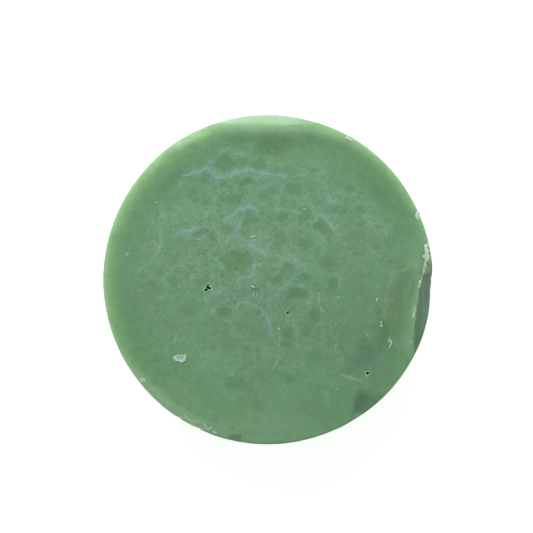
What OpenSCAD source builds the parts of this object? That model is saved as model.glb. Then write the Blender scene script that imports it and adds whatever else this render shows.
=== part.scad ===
// A round puck of hard shaving soap, lying on its base with the lathering face up.
// The puck is one casting. Shards and crumbs of the same soap cling to its face and rim.
// Millimetres, +Z up, origin at the centre of the base. Angles are seen from above,
// anticlockwise from +X. Each shard is trimmed against the puck, so it meets it face to face.

/* [Puck] */
// Diameter of the puck over its side wall
puck_d = 70; // [66:0.5:76]
// Height of the lathering face above the base
puck_h = 24; // [20:0.5:32]
// Radius of the rounded edge round the lathering face
face_edge_r = 2.4; // [1.5:0.1:3]
// Radius of the rounded edge round the base
base_edge_r = 1.2; // [0.6:0.1:2]

/* [Broken edge] */
// Distance of the break's upper edge from the puck's axis
break_reach = 32.1; // [31.6:0.1:32.6]
// Direction that the break faces
break_angle = -4; // [-8:1:0]
// Lean of the break from the vertical, outwards as it goes down until it meets the side wall
break_lean = 42; // [30:1:55]
// Radius of the hollow in which the break ends
break_end_r = 6; // [4:0.5:8]

/* [Dents] */
// Depth of the groove beside the break
groove_depth = 0.7; // [0.4:0.1:1]
// Length of that groove over the face
groove_length = 13; // [10:1:15]
// Depth of the thumb dent at the lower right of the rim
thumb_depth = 1.1; // [0.6:0.1:1.4]
// Distance of the pressed bevel's inner line from the puck's axis
bevel_reach = 32.2; // [31.6:0.1:33]
// Slope of the bevel, from the face
bevel_slope = 35; // [25:1:45]

/* [Shards and crumbs] */
// Height of the loose flake that lies on the face
face_flake_h = 0.4; // [0.3:0.1:0.7]
// Height of the shards on the rim, above the rounded edge
rim_shard_h = 0.35; // [0.25:0.05:0.5]
// Height of the small crumbs
crumb_h = 0.3; // [0.2:0.05:0.4]

/* [Hidden] */
$fn = 96;
puck_r = puck_d / 2;
past = 5;                       // how far cutters run past what they cut
bed = 3;                        // how deep a shard's blank starts inside the puck
bevel_angle = 88;               // direction that the bevel faces
break_end = 1;                  // how far the straight part of the break runs past its middle
groove_at = [28.3, -4.4];       // middle of the groove
groove_turn = 4;                // its direction, from +Y
thumb_at = [21.5, -27.8];       // middle of the thumb dent
thumb_ball_r = 9;               // ball that the dent fits
crumb_taper = 0.6;              // radius of a crumb's top, as a share of its foot's

// Lobes of the bubble pits that open in the face: [x, y, radius, depth of the centre]
PITS = [
    [-13.0, -1.6, 0.38, 0.15], [-13.1, -2.4, 0.36, 0.2], [-12.4, -1.9, 0.36, 0.15],
    [4.1, -7.1, 0.42, 0.15], [21.0, -19.9, 0.36, 0.1]
];

// Crumbs strewn over the face: [x, y, radius]
CRUMBS = [
    [-14.5, 8.4, 0.38], [-3.1, 8.9, 0.4], [7.7, 14.8, 0.3], [16.1, 7.5, 0.26], [8.3, 28.5, 0.26],
    [-23.6, 16.2, 0.28], [-19.8, 10.3, 0.26], [14.9, -4.0, 0.26], [-3.0, -1.7, 0.32],
    [8.7, -5.2, 0.24], [-6.8, -6.2, 0.26], [2.4, -10.5, 0.26], [-20.7, -9.0, 0.3],
    [14.5, -23.3, 0.28]
];

soap_green = [0.42, 0.58, 0.45];
dry_soap = [0.72, 0.83, 0.75];

// Cross-section of the puck, from its axis to its side wall
module puck_section() {
    difference() {
        square([puck_r, puck_h]);
        translate([puck_r - face_edge_r, puck_h - face_edge_r]) edge_corner(face_edge_r);
        translate([puck_r - base_edge_r, base_edge_r]) mirror([0, 1]) edge_corner(base_edge_r);
    }
}

// What a rounded edge of radius r leaves out of a square corner
module edge_corner(r) {
    difference() {
        square([r + past, r + past]);
        circle(r);
    }
}

// Plan of the break, from its upper edge outwards: straight, with a hollow where it ends
module break_plan() {
    translate([0, -puck_r]) square([puck_d, puck_r + break_end]);
    translate([break_end_r, break_end]) {
        circle(break_end_r);
        square([puck_d - break_end_r, break_end_r]);
    }
}

// What broke off: a chip of the rim with that plan, whose surface leans outwards as it goes down
module break_cutter() {
    rotate([0, 0, break_angle]) translate([break_reach, 0, puck_h]) rotate([0, -break_lean, 0])
        translate([0, 0, -2 * puck_h]) linear_extrude(3 * puck_h) break_plan();
}

// Half-space above the pressed bevel at the top of the rim
module bevel_cutter() {
    rotate([0, 0, bevel_angle]) translate([bevel_reach, 0, puck_h]) rotate([0, bevel_slope, 0])
        translate([0, -puck_r, 0]) cube([puck_r, puck_d, puck_h]);
}

// Groove beside the break, cut by a wheel whose axle lies across it
module groove_cutter() {
    wheel_r = (pow(groove_length / 2, 2) + pow(groove_depth, 2)) / (2 * groove_depth);
    tyre_r = 3.2;
    translate([groove_at[0], groove_at[1], puck_h + wheel_r - groove_depth])
        rotate([0, 90, groove_turn])
        rotate_extrude() {
            translate([wheel_r - tyre_r, 0]) circle(tyre_r);
            translate([0, -tyre_r]) square([wheel_r - tyre_r, 2 * tyre_r]);
        }
}

// Shallow round dent, as a thumb leaves it
module thumb_cutter() {
    translate([thumb_at[0], thumb_at[1], puck_h + thumb_ball_r - thumb_depth]) sphere(thumb_ball_r);
}

// The casting, with its break, dents and bubble pits
module soap_puck() {
    color(soap_green) difference() {
        rotate_extrude() puck_section();
        break_cutter();
        groove_cutter();
        thumb_cutter();
        bevel_cutter();
        for (p = PITS) translate([p[0], p[1], puck_h - p[3]]) sphere(p[2]);
    }
}

// A thin blank of the given outline that follows the puck's rounded edge, proud of it by h
module shard_on_puck(outline, h) {
    color(dry_soap) difference() {
        intersection() {
            translate([0, 0, puck_h - bed]) linear_extrude(bed + past) polygon(outline);
            translate([0, 0, h]) rotate_extrude() puck_section();
        }
        soap_puck();
        break_cutter();
    }
}

// An outline given in millimetres from a point at radius r and angle a, turned to face the axis
function on_rim(r, a, outline) = [
    for (p = outline)
        [(r + p[0]) * cos(a) - p[1] * sin(a), (r + p[0]) * sin(a) + p[1] * cos(a)]
];

// Loose flake lying on the face
module face_flake() {
    outline = [
        [-20.1, -16.9], [-19.8, -16.3], [-19.1, -16.1], [-17.5, -16.0], [-17.3, -16.9],
        [-17.6, -17.6], [-18.4, -17.8], [-19.3, -17.7]
    ];
    color(dry_soap) translate([0, 0, puck_h]) linear_extrude(face_flake_h) polygon(outline);
}

// Crumbs strewn over the face: low cones with a cut top
module face_crumbs() {
    color(dry_soap) for (c = CRUMBS) translate([c[0], c[1], puck_h])
        cylinder(h = crumb_h, r1 = c[2], r2 = c[2] * crumb_taper, $fn = 24);
}

// Crumbs caught along the inner side of the groove
module groove_crumbs() {
    shard_on_puck([[23.0, -4.1], [23.4, -4.0], [23.5, -4.8], [23.1, -4.9]], crumb_h);
    shard_on_puck([[23.6, -8.9], [24.0, -8.8], [24.3, -9.9], [23.5, -10.2]], crumb_h);
    shard_on_puck([[25.3, -13.0], [26.0, -12.6], [26.3, -13.4], [25.8, -14.6], [25.6, -14.5]], crumb_h);
}

// Torn fringe that stands along the upper edge of the break
module break_edge_shards() {
    shard_on_puck([
        [33.0, 7.2], [33.5, 7.5], [33.9, 6.8], [34.1, 5.4], [33.9, 3.8], [33.4, 2.4], [32.7, 1.4],
        [32.4, 1.5], [32.9, 2.8], [33.2, 4.2], [32.8, 4.7], [33.2, 5.6]
    ], rim_shard_h);
    shard_on_puck([[31.9, 0.7], [32.3, 0.8], [32.2, -1.8], [31.7, -1.7]], rim_shard_h);
    shard_on_puck([[30.8, -6.0], [31.3, -5.6], [31.6, -6.0], [31.2, -8.4], [30.9, -8.3]], rim_shard_h);
}

// Oval shard on the upper right of the rim
module right_rim_shard() {
    shard_on_puck(on_rim(34.2, 23, [
        [-0.7, 0], [-0.5, 0.7], [0, 0.95], [0.4, 0.7], [0.5, 0], [0.4, -0.7], [0, -0.95], [-0.5, -0.7]
    ]), rim_shard_h);
}

// Two small shards on the top of the rim
module top_rim_shards() {
    shard_on_puck(on_rim(34.0, 60, [[-0.4, -0.7], [0.3, -0.7], [0.2, 0.6], [-0.2, 0.8]]), rim_shard_h);
    shard_on_puck(on_rim(33.6, 123, [[-0.6, -0.9], [0.3, -0.7], [0.4, 0.8], [-0.4, 0.7]]), rim_shard_h);
}

// Shards on the lower left of the rim
module left_rim_shards() {
    shard_on_puck(on_rim(34.0, 219, [[-0.6, -0.5], [0.3, -0.7], [0.5, 0.4], [-0.3, 0.7]]), rim_shard_h);
    shard_on_puck(on_rim(34.1, 223.3, [[-0.2, -0.4], [0.3, -0.4], [0.2, 0.4], [-0.2, 0.3]]), rim_shard_h);
}

// Shaving half peeled off the lower rim, with two shards at its end
module lower_rim_shaving() {
    arc_from = 236;
    arc_to = 246;
    inner_r = 33.3;
    outer_r = 34.3;
    shaving = [
        for (a = [arc_from : arc_to]) inner_r * [cos(a), sin(a)],
        for (a = [arc_to : -1 : arc_from]) outer_r * [cos(a), sin(a)]
    ];
    shard_on_puck(shaving, rim_shard_h);
    shard_on_puck(on_rim(33.8, 248, [[-0.6, -0.7], [0.3, -0.6], [0.4, 0.8], [-0.3, 0.7]]), rim_shard_h);
    shard_on_puck(on_rim(34.3, 251, [[-0.2, -0.5], [0.2, -0.4], [0.2, 0.5], [-0.2, 0.4]]), rim_shard_h);
}

soap_puck();
face_flake();
face_crumbs();
groove_crumbs();
break_edge_shards();
right_rim_shard();
top_rim_shards();
left_rim_shards();
lower_rim_shaving();
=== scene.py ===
"""Looks of a worn, chipped puck of hard green shaving soap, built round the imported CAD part.

Shapes are worked out in millimetres in the row frame, and become metres as each mesh is made. The soap
is one closed mesh: a round bar whose face, rim and wall then take each named feature. Shards and crumbs
are separate closed meshes that lie on it. Angles are in degrees, anticlockwise from +X, seen from above.
Every number drawn at random comes from a seed written here.
"""

import itertools
import math
import random

import bmesh
import bpy
import numpy as np
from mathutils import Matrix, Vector
from mathutils.bvhtree import BVHTree


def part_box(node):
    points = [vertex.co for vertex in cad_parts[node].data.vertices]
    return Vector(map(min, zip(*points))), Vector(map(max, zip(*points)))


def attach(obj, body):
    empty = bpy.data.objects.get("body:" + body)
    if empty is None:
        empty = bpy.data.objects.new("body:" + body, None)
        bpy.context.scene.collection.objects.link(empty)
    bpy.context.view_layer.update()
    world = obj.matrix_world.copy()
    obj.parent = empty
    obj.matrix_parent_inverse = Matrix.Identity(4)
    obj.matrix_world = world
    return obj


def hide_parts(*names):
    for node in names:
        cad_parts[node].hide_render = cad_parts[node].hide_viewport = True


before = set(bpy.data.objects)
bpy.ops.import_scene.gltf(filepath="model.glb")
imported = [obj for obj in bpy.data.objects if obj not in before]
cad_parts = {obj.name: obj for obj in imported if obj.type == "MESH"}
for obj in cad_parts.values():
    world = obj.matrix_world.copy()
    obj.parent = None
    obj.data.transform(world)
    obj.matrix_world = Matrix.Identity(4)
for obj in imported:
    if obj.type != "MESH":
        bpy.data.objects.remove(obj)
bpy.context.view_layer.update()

MM = 0.001
SOAP_LOW, SOAP_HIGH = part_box("soap_puck")
RADIUS = -SOAP_LOW.x / MM
HEIGHT = SOAP_HIGH.z / MM

# ---------------------------------------------------------------- the bar's mesh
FACE_CELLS = 220                # squares across the face's grid
BASE_CELLS = FACE_CELLS // 4
EDGE_ROWS = 10                  # rows of squares round the face's rounded edge
WALL_ROWS = 18
BASE_EDGE_ROWS = 4
BASE_EDGE_R = 1.2
BASE_MARGIN = 0.6               # width of the ring between the base's rounded edge and its grid
RIM_FOOT = 8.0                  # height below which a dent in the rim is no longer felt
RIM_TOP = HEIGHT - 2.5          # height above which it is felt in full
BASE_HOLLOW = 0.12              # how far the middle of the base is sunk in, as cast soap shrinks
BASE_HOLLOW_R = (31, 12)        # radius where that hollow starts, and where it has its full depth
BASE_SWELLS = 0.03
BASE_FOOT_R = (33, 30)          # outside this ring the base lies flat, and inside it it swells and sinks
WALL_SHRINK = 0.07              # how far the wall stays inside the CAD model's, to leave room for its bumps
WALL_FOOT = (3.4, 2.9)          # height over which the wall steps out to its foot
WALL_FOOT_OUT = 0.05

# Rounded edge round the face: angle, how far it reaches inwards, how far it reaches down
RIM_ROUNDING = [
    (0, 1, 0.9), (20, 1.6, 1.4), (45, 2.2, 1.7), (70, 2, 1.6), (90, 1.3, 1.1), (112, 2.2, 1.7),
    (150, 2.7, 2), (180, 2.3, 1.8), (210, 1.8, 1.5), (238, 1.3, 1.2), (262, 0.7, 0.7), (300, 0.5, 0.5),
    (335, 0.5, 0.5), (360, 1, 0.9)
]

# ---------------------------------------------------------------- features of the face
BREAK_REACH = 31.95             # distance of the break's upper edge from the axis
BREAK_ANGLE = -4
BREAK_FLARE = (0.55, 1.9)       # how far it leans out for each mm down, at its two ends
BREAK_LENGTH = 11               # distance over which the lean goes from the one to the other
BREAK_END = 0.2                 # where its straight part gives way to a hollow
BREAK_END_R = 5.5
BREAK_LEDGE = (2.4, 1.4)        # depth and width of the sloping ledge at that end
BREAK_RIPPLES = ((0.08, 4.5), (0.06, 0.9))  # depth and size of its large and small ripples
BREAK_HEART = (26.0, -6.0, 12.0)    # point inside the soap that the break's surface is drawn towards
BREAK_HALVINGS = 18             # how often the search for that surface halves its step

BEVEL_REACH = 32.3
BEVEL_ANGLE = 88
BEVEL_SLOPE = 35
BEVEL_BLUR = 2.2                # width of the bend where the bevel leaves the face
BEVEL_LIP = (30.8, 1.9, 0.16)   # reach, width and height of the lip inside the bevel
BEVEL_TROUGH = (27.8, 2.0, 0.08)    # reach, width and depth of the trough inside the lip
LIP_MIDDLE = 1.5                # x of the lip's middle
LIP_FADE = (14, 4)              # distance from there at which it ends, and within which it is full

MINT_REACH = 32.2               # where the bevel's pale minty painted sheen starts
MINT_MIDDLE = -4.0
MINT_FADE = (16, 8)
MINT_TILT = 0.06                # how much further out it and the band start for each mm to the right
BAND_REACH = (30.3, 33.8)       # where the band of painted yellow-green light inside the sheen starts, and where it is full
BAND_RIM = (33.2, 34.4)         # where it dims again towards the rim
BAND_DIP = (1, 8, 12, 18)       # x of the place where it is dimmer
BAND_FADE = (19, 11)

THUMB_CORNER = (18.6, -23.2)    # where the thumb dent's two edges meet on the face
THUMB_SLOPE = 13
THUMB_FALL = (-0.28, -0.96)     # direction in which the dent falls
THUMB_DEPTH = 1.6               # the most that it is pressed in
THUMB_TOP = (-20, -22)          # y over which it sets in
THUMB_RIGHT = (25.5, 22.5)      # x where it ends, and from which it is full
THUMB_SHADE_END = (-28.9, -27.9)    # y of the lower end of its shade

HOLLOW = ((20.4, -17.2), (6.2, 5.4), 10)    # middle, half length and half width, and turn
HOLLOW_DEPTH = 0.30
STEP_HEIGHT = 0.05              # height of the step below the hollow
STEP_START = (15.7, -20.3)
STEP_TILT = 0.3                 # how much lower it lies for each mm to the right
STEP_RUN = (15, 16, 19.2, 20.4)

GROOVE_DEPTH = 0.65
GROOVE_WIDTH = 7.6
GROOVE_BURR = 0.14              # height of the burr between the groove and the break

GROOVE_RUN = (-15.0, -7.0, -3.5, 3.0)   # y where it starts, has its full depth, begins to fade and ends
BURR_RUN = (-17, -13, 0, 2)
BRIGHT_RUN = (-18.5, -15, -2, 1)        # y of the strip of painted light along the break
EDGE_RUN = (-18, -15, 0, 2)             # y of its pale edge

SHAVED_BEVEL = 33.9             # distance of the shaved bevel's inner edge from the axis
SHAVED_SLOPE = 0.6
SHAVED_ARC = (231, 238, 247, 251)   # angles where it starts, is full, begins to fade and ends
TORN_ARC = (241, 243, 246, 247.5)   # the same for its torn pale end
SHADE_ARC = (222, 236, 276, 292)     # for the painted shade along the rim's foot
HIGHLIGHT_ARC = (95, 115, 245, 262)      # and for the painted highlight on the left of the rim
NOTCH_ANGLE = 245.3
NICK_ANGLE = 114.6
CHIP_AT = (-6.9, -33.7)         # middle of the brown chip in the lower rim
CHIP_HALF = ((1.4, 0.75), (1.15, 0.55))     # half its length and width, outside and at full depth
DIM_RIM = (58, 18, 0.12)        # where the rim's painted light is weaker: angle, width, strength
SMEAR = ((20, -8), (8, 15), 10)     # where the fine net is smeared away: middle, half size, turn

# Open bubble pits: x, y, length, width, turn, depth, darkness of the painted shade inside, paleness of the
# ring round it
PITS = [
    (-12.7, -1.62, 0.44, 0.22, 70, 1, 0.72, 0.6), (-12.98, -2.25, 0.4, 0.27, 50, 1.1, 0.72, 0.5),
    (-12.32, -1.95, 0.34, 0.26, 0, 1, 0.72, 0.6), (4.2, -7.12, 0.36, 0.3, 60, 0.5, 0.14, 0.35),
    (21.05, -19.92, 0.33, 0.26, 50, 0.9, 0.95, 0.4), (-2.62, -3.18, 0.13, 0.13, 0, 0.2, 0.3, 0),
    (-15.2, 27.9, 0.12, 0.12, 0, 0.2, 0.5, 0), (4.8, 32.4, 0.14, 0.11, 0, 0.2, 0.4, 0),
    (-7.5, -31.6, 0.14, 0.12, 0, 0.2, 0.5, 0), (-3.4, -23.7, 0.14, 0.14, 0, 0.15, 0.5, 0),
    (14.1, -18.9, 0.11, 0.11, 0, 0.12, 0.4, 0), (-4.7, 20.5, 0.12, 0.11, 0, 0.12, 0.4, 0),
    (20.8, -24.8, 0.12, 0.11, 0, 0.12, 0.4, 0)
]

# Open bubbles in the side wall: angle, height, radius
WALL_PITS = [
    (248, 15.5, 0.55), (283, 6.2, 0.35), (318, 17.8, 0.4), (333, 9.4, 0.3), (38, 12.6, 0.5),
    (61, 5.8, 0.3), (104, 16.4, 0.45), (147, 8.2, 0.35), (196, 13, 0.5), (214, 4.9, 0.3)
]

# Veins of pale bloom: strength, width, then x and y of each point along it
VEINS = [
    (1, 0.36, -17.8, 21.9, -15.8, 22.5, -14.3, 22.7, -12.9, 23.3, -11.9, 22.6, -11.2, 21.9),
    (0.7, 0.32, -13, 23.9, -12, 24.9, -11, 25.5, -10.2, 26.6, -9.2, 27, -8, 27.5),
    (0.8, 0.34, -11.9, 24.3, -11.5, 23.5, -11.2, 22.4, -10.9, 20.8, -11.1, 20.1),
    (1.2, 0.46, -11, 21.4, -9, 21.6, -7.2, 22.6, -5.5, 22.6, -4.2, 22.9, -2.6, 22.6),
    (1, 0.32, -3, 22.6, -1.4, 22.3, 0.6, 22.1, 2.2, 21.8, 3.9, 21.7),
    (0.6, 0.26, -3.2, 22.2, -2.4, 21.5, -1.2, 21.2, 0.4, 21.4, 1.8, 21, 3.2, 20.9),
    (0.6, 0.25, 0.4, 21.6, 0.9, 20.8, 1.9, 20.4, 2.6, 20.2),
    (0.45, 0.3, -4.2, 22.9, -3.8, 24, -4.3, 25, -3.9, 26),
    (0.5, 0.28, -2.9, 19, -2.2, 19.3, -1.4, 19.4, -0.4, 20.2),
    (0.5, 0.28, -3.4, 15.9, -2.6, 16.9, -2.2, 18.1, -2.7, 19),
    (0.45, 0.36, 3.2, 21.7, 5.5, 21.8, 7.6, 21.9, 10.2, 22.1, 12.4, 22.7),
    (0.7, 0.3, -9.2, 21.3, -8.6, 20.8, -8.2, 20.2),
    (0.55, 0.28, -19.2, 18.7, -18.6, 19.9, -17.8, 20.4, -16.9, 21),
    (0.55, 0.3, -8, 26.2, -6.6, 26.4, -5, 26.4, -3.9, 26), (0.4, 0.3, -5.4, 28.3, -4.2, 28.4, -2.3, 28.8),
    (0.6, 0.28, -20.4, 13.2, -19.4, 13.8, -18.8, 14.5, -18.2, 15.3),
    (0.5, 0.34, -23, 12.9, -22.4, 13.5, -21.9, 14.4, -21.8, 15.1),
    (0.5, 0.28, -24.2, 13.8, -24.3, 12.6, -24.1, 11.2, -23, 10.6),
    (0.65, 0.36, -22.3, 11.5, -22.6, 9.8, -22.5, 8.2, -22.9, 6.6, -23.7, 5.3, -24.4, 4.1),
    (0.75, 0.36, -19.2, 9.6, -17.6, 10.2, -16.1, 10.1, -15.4, 10.8, -14.2, 11, -11.5, 11.2),
    (0.5, 0.28, -12, 14.2, -11.3, 14.5, -10.7, 15.3), (0.4, 0.28, -15.1, 12.8, -14.5, 13.5, -13.9, 13.9),
    (0.4, 0.3, -14.2, 14.9, -14.5, 16.4, -14.3, 18),
    (0.6, 0.34, -11, 20.2, -10.4, 19, -10.6, 17.6, -11.1, 16.4, -11, 15.2),
    (0.4, 0.3, -9.9, 15.2, -8.8, 14.6, -7.7, 14.4),
    (1.1, 0.4, -8.9, 12.5, -7.5, 13.5, -6, 14.5, -4.2, 15.2, -3, 14.9, -2.1, 14.6),
    (0.65, 0.38, -5, 14.4, -5.5, 13, -5.6, 11.8, -6.4, 10.6, -7.1, 9.2, -7, 8.5),
    (0.5, 0.3, -8.9, 12.5, -10.2, 11.6, -11.8, 11.4, -11.4, 10.2, -10.8, 8.9),
    (0.5, 0.3, -10.8, 10, -9.6, 8.4, -8, 8.2, -6.2, 8, -5.2, 6.9),
    (1.2, 0.54, -5.4, 7, -4.2, 7.1, -3, 6.9, -1.8, 6.4, -0.6, 5.3),
    (0.85, 0.4, -3.5, 5.2, -2.9, 4, -2.8, 2.4, -3.4, 0.9, -4.2, 0.3),
    (0.7, 0.32, -3.4, 0.8, -4.6, 0.2, -5.7, 0.1, -6.3, -0.7, -6, -2),
    (0.6, 0.34, -13.2, -4.8, -12.9, -3.8, -12, -3.5, -10.8, -3.1, -10, -2.6),
    (0.6, 0.34, -7, -6.2, -6.1, -5.2, -5, -4.8, -3.2, -5.4, -1.6, -6.3, -0.5, -7.5),
    (0.6, 0.32, -0.5, -7.5, 0.1, -8.9, 0.5, -10.4, 0.9, -11.8, 1.1, -13.2),
    (0.5, 0.3, -1.8, -7.7, -1, -7.3, -0.5, -7.6), (0.4, 0.3, 2.6, -8.2, 2.4, -9.8, 2.6, -12.4),
    (0.4, 0.3, -6.8, -6.3, -6, -7.1, -5.2, -7.6), (0.7, 0.24, -19.2, -11.2, -19.5, -12.4, -19.9, -13.6),
    (0.5, 0.24, -20.6, -12.9, -21.2, -14.2, -21.6, -15.3),
    (0.5, 0.3, -23.6, -5.9, -24.2, -6.7, -24.6, -7.6),
    (0.4, 0.3, -10.8, 4.6, -10.8, 3.4, -10.2, 2.4, -9.3, 2.6),
    (0.5, 0.3, 6, 23.6, 7.4, 23.3, 8.3, 22.8, 9.6, 23.8, 10.9, 23.6, 12, 23),
    (0.75, 0.34, 12.7, 18.2, 12.8, 17.2, 13, 16.3, 13.9, 16.4, 14.5, 16.9),
    (0.6, 0.32, 13.2, 17.3, 13.9, 18.1, 15.8, 18.3, 17.2, 18, 18.6, 17.6),
    (0.6, 0.34, 8, 16.2, 9, 15.7, 9.6, 14.8, 10.3, 13.9),
    (0.75, 0.4, 10.1, 13.9, 11.4, 13.4, 12.5, 12.6, 13.3, 11.6, 13.5, 10.8, 14.9, 9.3),
    (0.6, 0.34, 9.2, 11.2, 9.8, 10.2, 11, 9.1, 11.7, 7.9, 12, 7),
    (0.45, 0.36, -0.8, 13.4, 0.4, 12.3, 1.6, 11.5, 3, 10.9, 4.2, 10.1, 4.1, 8.4),
    (0.6, 0.36, 1, 16.5, 1.4, 17.4, 2.2, 17, 2.8, 16.4),
    (0.6, 0.34, 1.2, 14.9, 2.8, 14.7, 4.4, 14.5, 5.4, 14.5, 6.2, 13.6),
    (0.6, 0.34, 18.5, 15, 18.4, 15.9, 20, 16.1, 21.2, 15.6, 22.6, 15.8),
    (0.6, 0.32, 22.2, 11.7, 24, 11.8, 24.6, 10.8, 24.9, 9.8),
    (0.7, 0.36, 3.4, 6.1, 4.2, 5.4, 5.4, 4.5, 6.2, 3.7, 7.4, 3, 7.8, 2),
    (0.5, 0.3, 3.4, 3.5, 4.2, 4, 5.4, 4.6), (0.5, 0.28, 8, 3.2, 8.3, 4.1, 9.2, 4.4, 10.4, 3.8),
    (0.5, 0.3, 7.6, 1.8, 6.4, 0.9, 5.4, 0.2, 4.6, -0.6), (0.5, 0.28, 9, -3.4, 9.6, -2.7, 9.9, -3.4),
    (0.5, 0.3, 6.3, -5.6, 7.4, -5.5, 8.6, -5.1), (0.4, 0.3, 20.8, 7.2, 21.6, 6.2, 22.6, 5.6),
    (0.4, 0.3, 26.2, 6.4, 27.2, 5.8, 28, 5.1),
    (0.65, 0.36, 2, -3.9, 2, -2.8, 2.7, -1.9, 4, -1.3, 4.8, -0.6, 5.4, 0.3),
    (0.5, 0.34, 4.4, -1, 5.8, -1.1, 7, -1.7, 8.4, -2.1, 9.1, -3.4, 9.1, -4.4, 8.6, -5.2),
    (0.4, 0.3, 0.3, -3, 0.6, -4.2, 0.3, -5.6, 0.5, -6.8),
    (0.5, 0.32, 14.4, 0.7, 15.3, 0.2, 15.4, -0.9, 14.6, -2.2),
    (0.4, 0.28, 13.2, -3.6, 14.2, -4.8, 15.2, -6.4), (0.5, 0.26, 6.1, -10.3, 6.2, -12.4, 6.3, -15.1),
    (0.4, 0.28, 4.1, -9.3, 5, -9.8, 6.1, -10.4),
    (0.45, 0.34, -0.6, -15.7, 1.4, -16.3, 2.4, -16.4, 3.8, -15.8),
    (0.6, 0.32, 2.1, -16.5, 1.8, -17.6, 1.1, -19.2), (0.4, 0.32, -13.6, -18.9, -13, -17.3, -12.8, -16.2),
    (0.6, 0.3, 12.2, -23.6, 12.6, -25.2, 12.8, -27.4), (0.4, 0.3, 3.2, -20.2, 3.4, -22.4, 3.1, -25.2),
    (0.4, 0.3, -8.4, -20.6, -7.4, -19.9), (0.4, 0.3, -9.6, -23.9, -8, -24.6, -7, -25.4)
]

TWIG_WIDTH = 0.24               # width of the twigs that branch off a vein
STRONG_VEIN = 0.7               # strength from which a vein's surroundings get a finer mesh

# Thin dry scratches, paler than the veins: strength, width, then x and y of each point along it
SCRATCHES = [
    (0.8, 0.13, 10.6, -1.9, 10.8, -3.4, 10.8, -4.8, 11.2, -6.2, 11.5, -6.8),
    (0.5, 0.12, 2.4, -10.6, 2.3, -12.6, 2.4, -15.3), (0.6, 0.14, 20.5, -11.2, 21, -11.9, 21.7, -12.3),
    (0.7, 0.16, 13.4, -13.2, 13.9, -12.4, 14.6, -12.7, 14.9, -13.5, 14.2, -14.2),
    (0.4, 0.12, -14.6, 2.2, -14.1, 1.2, -13.8, 0.7), (0.5, 0.12, -11.9, -6.1, -11.5, -7, -11.1, -7.4),
    (0.4, 0.12, -22.1, -0.8, -21.7, -1.3), (0.4, 0.12, 24.9, 8.9, 25.6, 9.4),
    (0.5, 0.15, 3.9, 34.2, 5.4, 34.3, 6.8, 34), (0.8, 0.16, 31.2, -5.6, 31, -7, 30.8, -8.3),
    (0.6, 0.16, 29.3, -12.6, 29.6, -13.2, 30.3, -13.3, 31, -13.2),
    (0.4, 0.1, 27.6, -5, 28.3, -3.4, 29.2, -1.8), (0.3, 0.1, 26.9, -7.6, 27.4, -6.2, 28.1, -4.9),
    (0.3, 0.1, 28.6, -6.8, 29.2, -5.2, 29.8, -4.4), (0.3, 0.1, 26.6, -2.4, 27.3, -0.9, 28.2, 0.3)
]

# Pale rings round tiny closed bubbles: x, y, radius, strength
RINGS = [
    (-1.7, 3.1, 0.3, 0.5), (0.9, 7.2, 0.65, 0.3), (-2.6, -3.2, 0.38, 0.6), (-1.5, -4.2, 0.26, 0.6),
    (-2.2, -5.1, 0.5, 0.4), (-29.9, 5.4, 0.3, 1), (5, 25, 0.3, 0.3), (-10.6, -6.3, 0.7, 0.4),
    (14.5, -14.9, 0.5, 0.3), (2.2, 28.8, 0.5, 0.25), (-13.2, 14, 0.35, 0.3), (9.8, 13.1, 0.3, 0.3)
]

# Pale fold along the inner side of the groove, and the step below the hollow at the lower right
GROOVE_FOLD = (32.2, 2.7, 30, 2.1, 28.3, 1.6, 26.5, 1.5, 25.8, 0, 25.3, -2, 25, -5, 24.8, -7)
HOLLOW_STEP = (15.5, -20.2, 16.6, -20.6, 17.9, -20.85, 19, -21.2, 19.8, -21.7)

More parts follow.
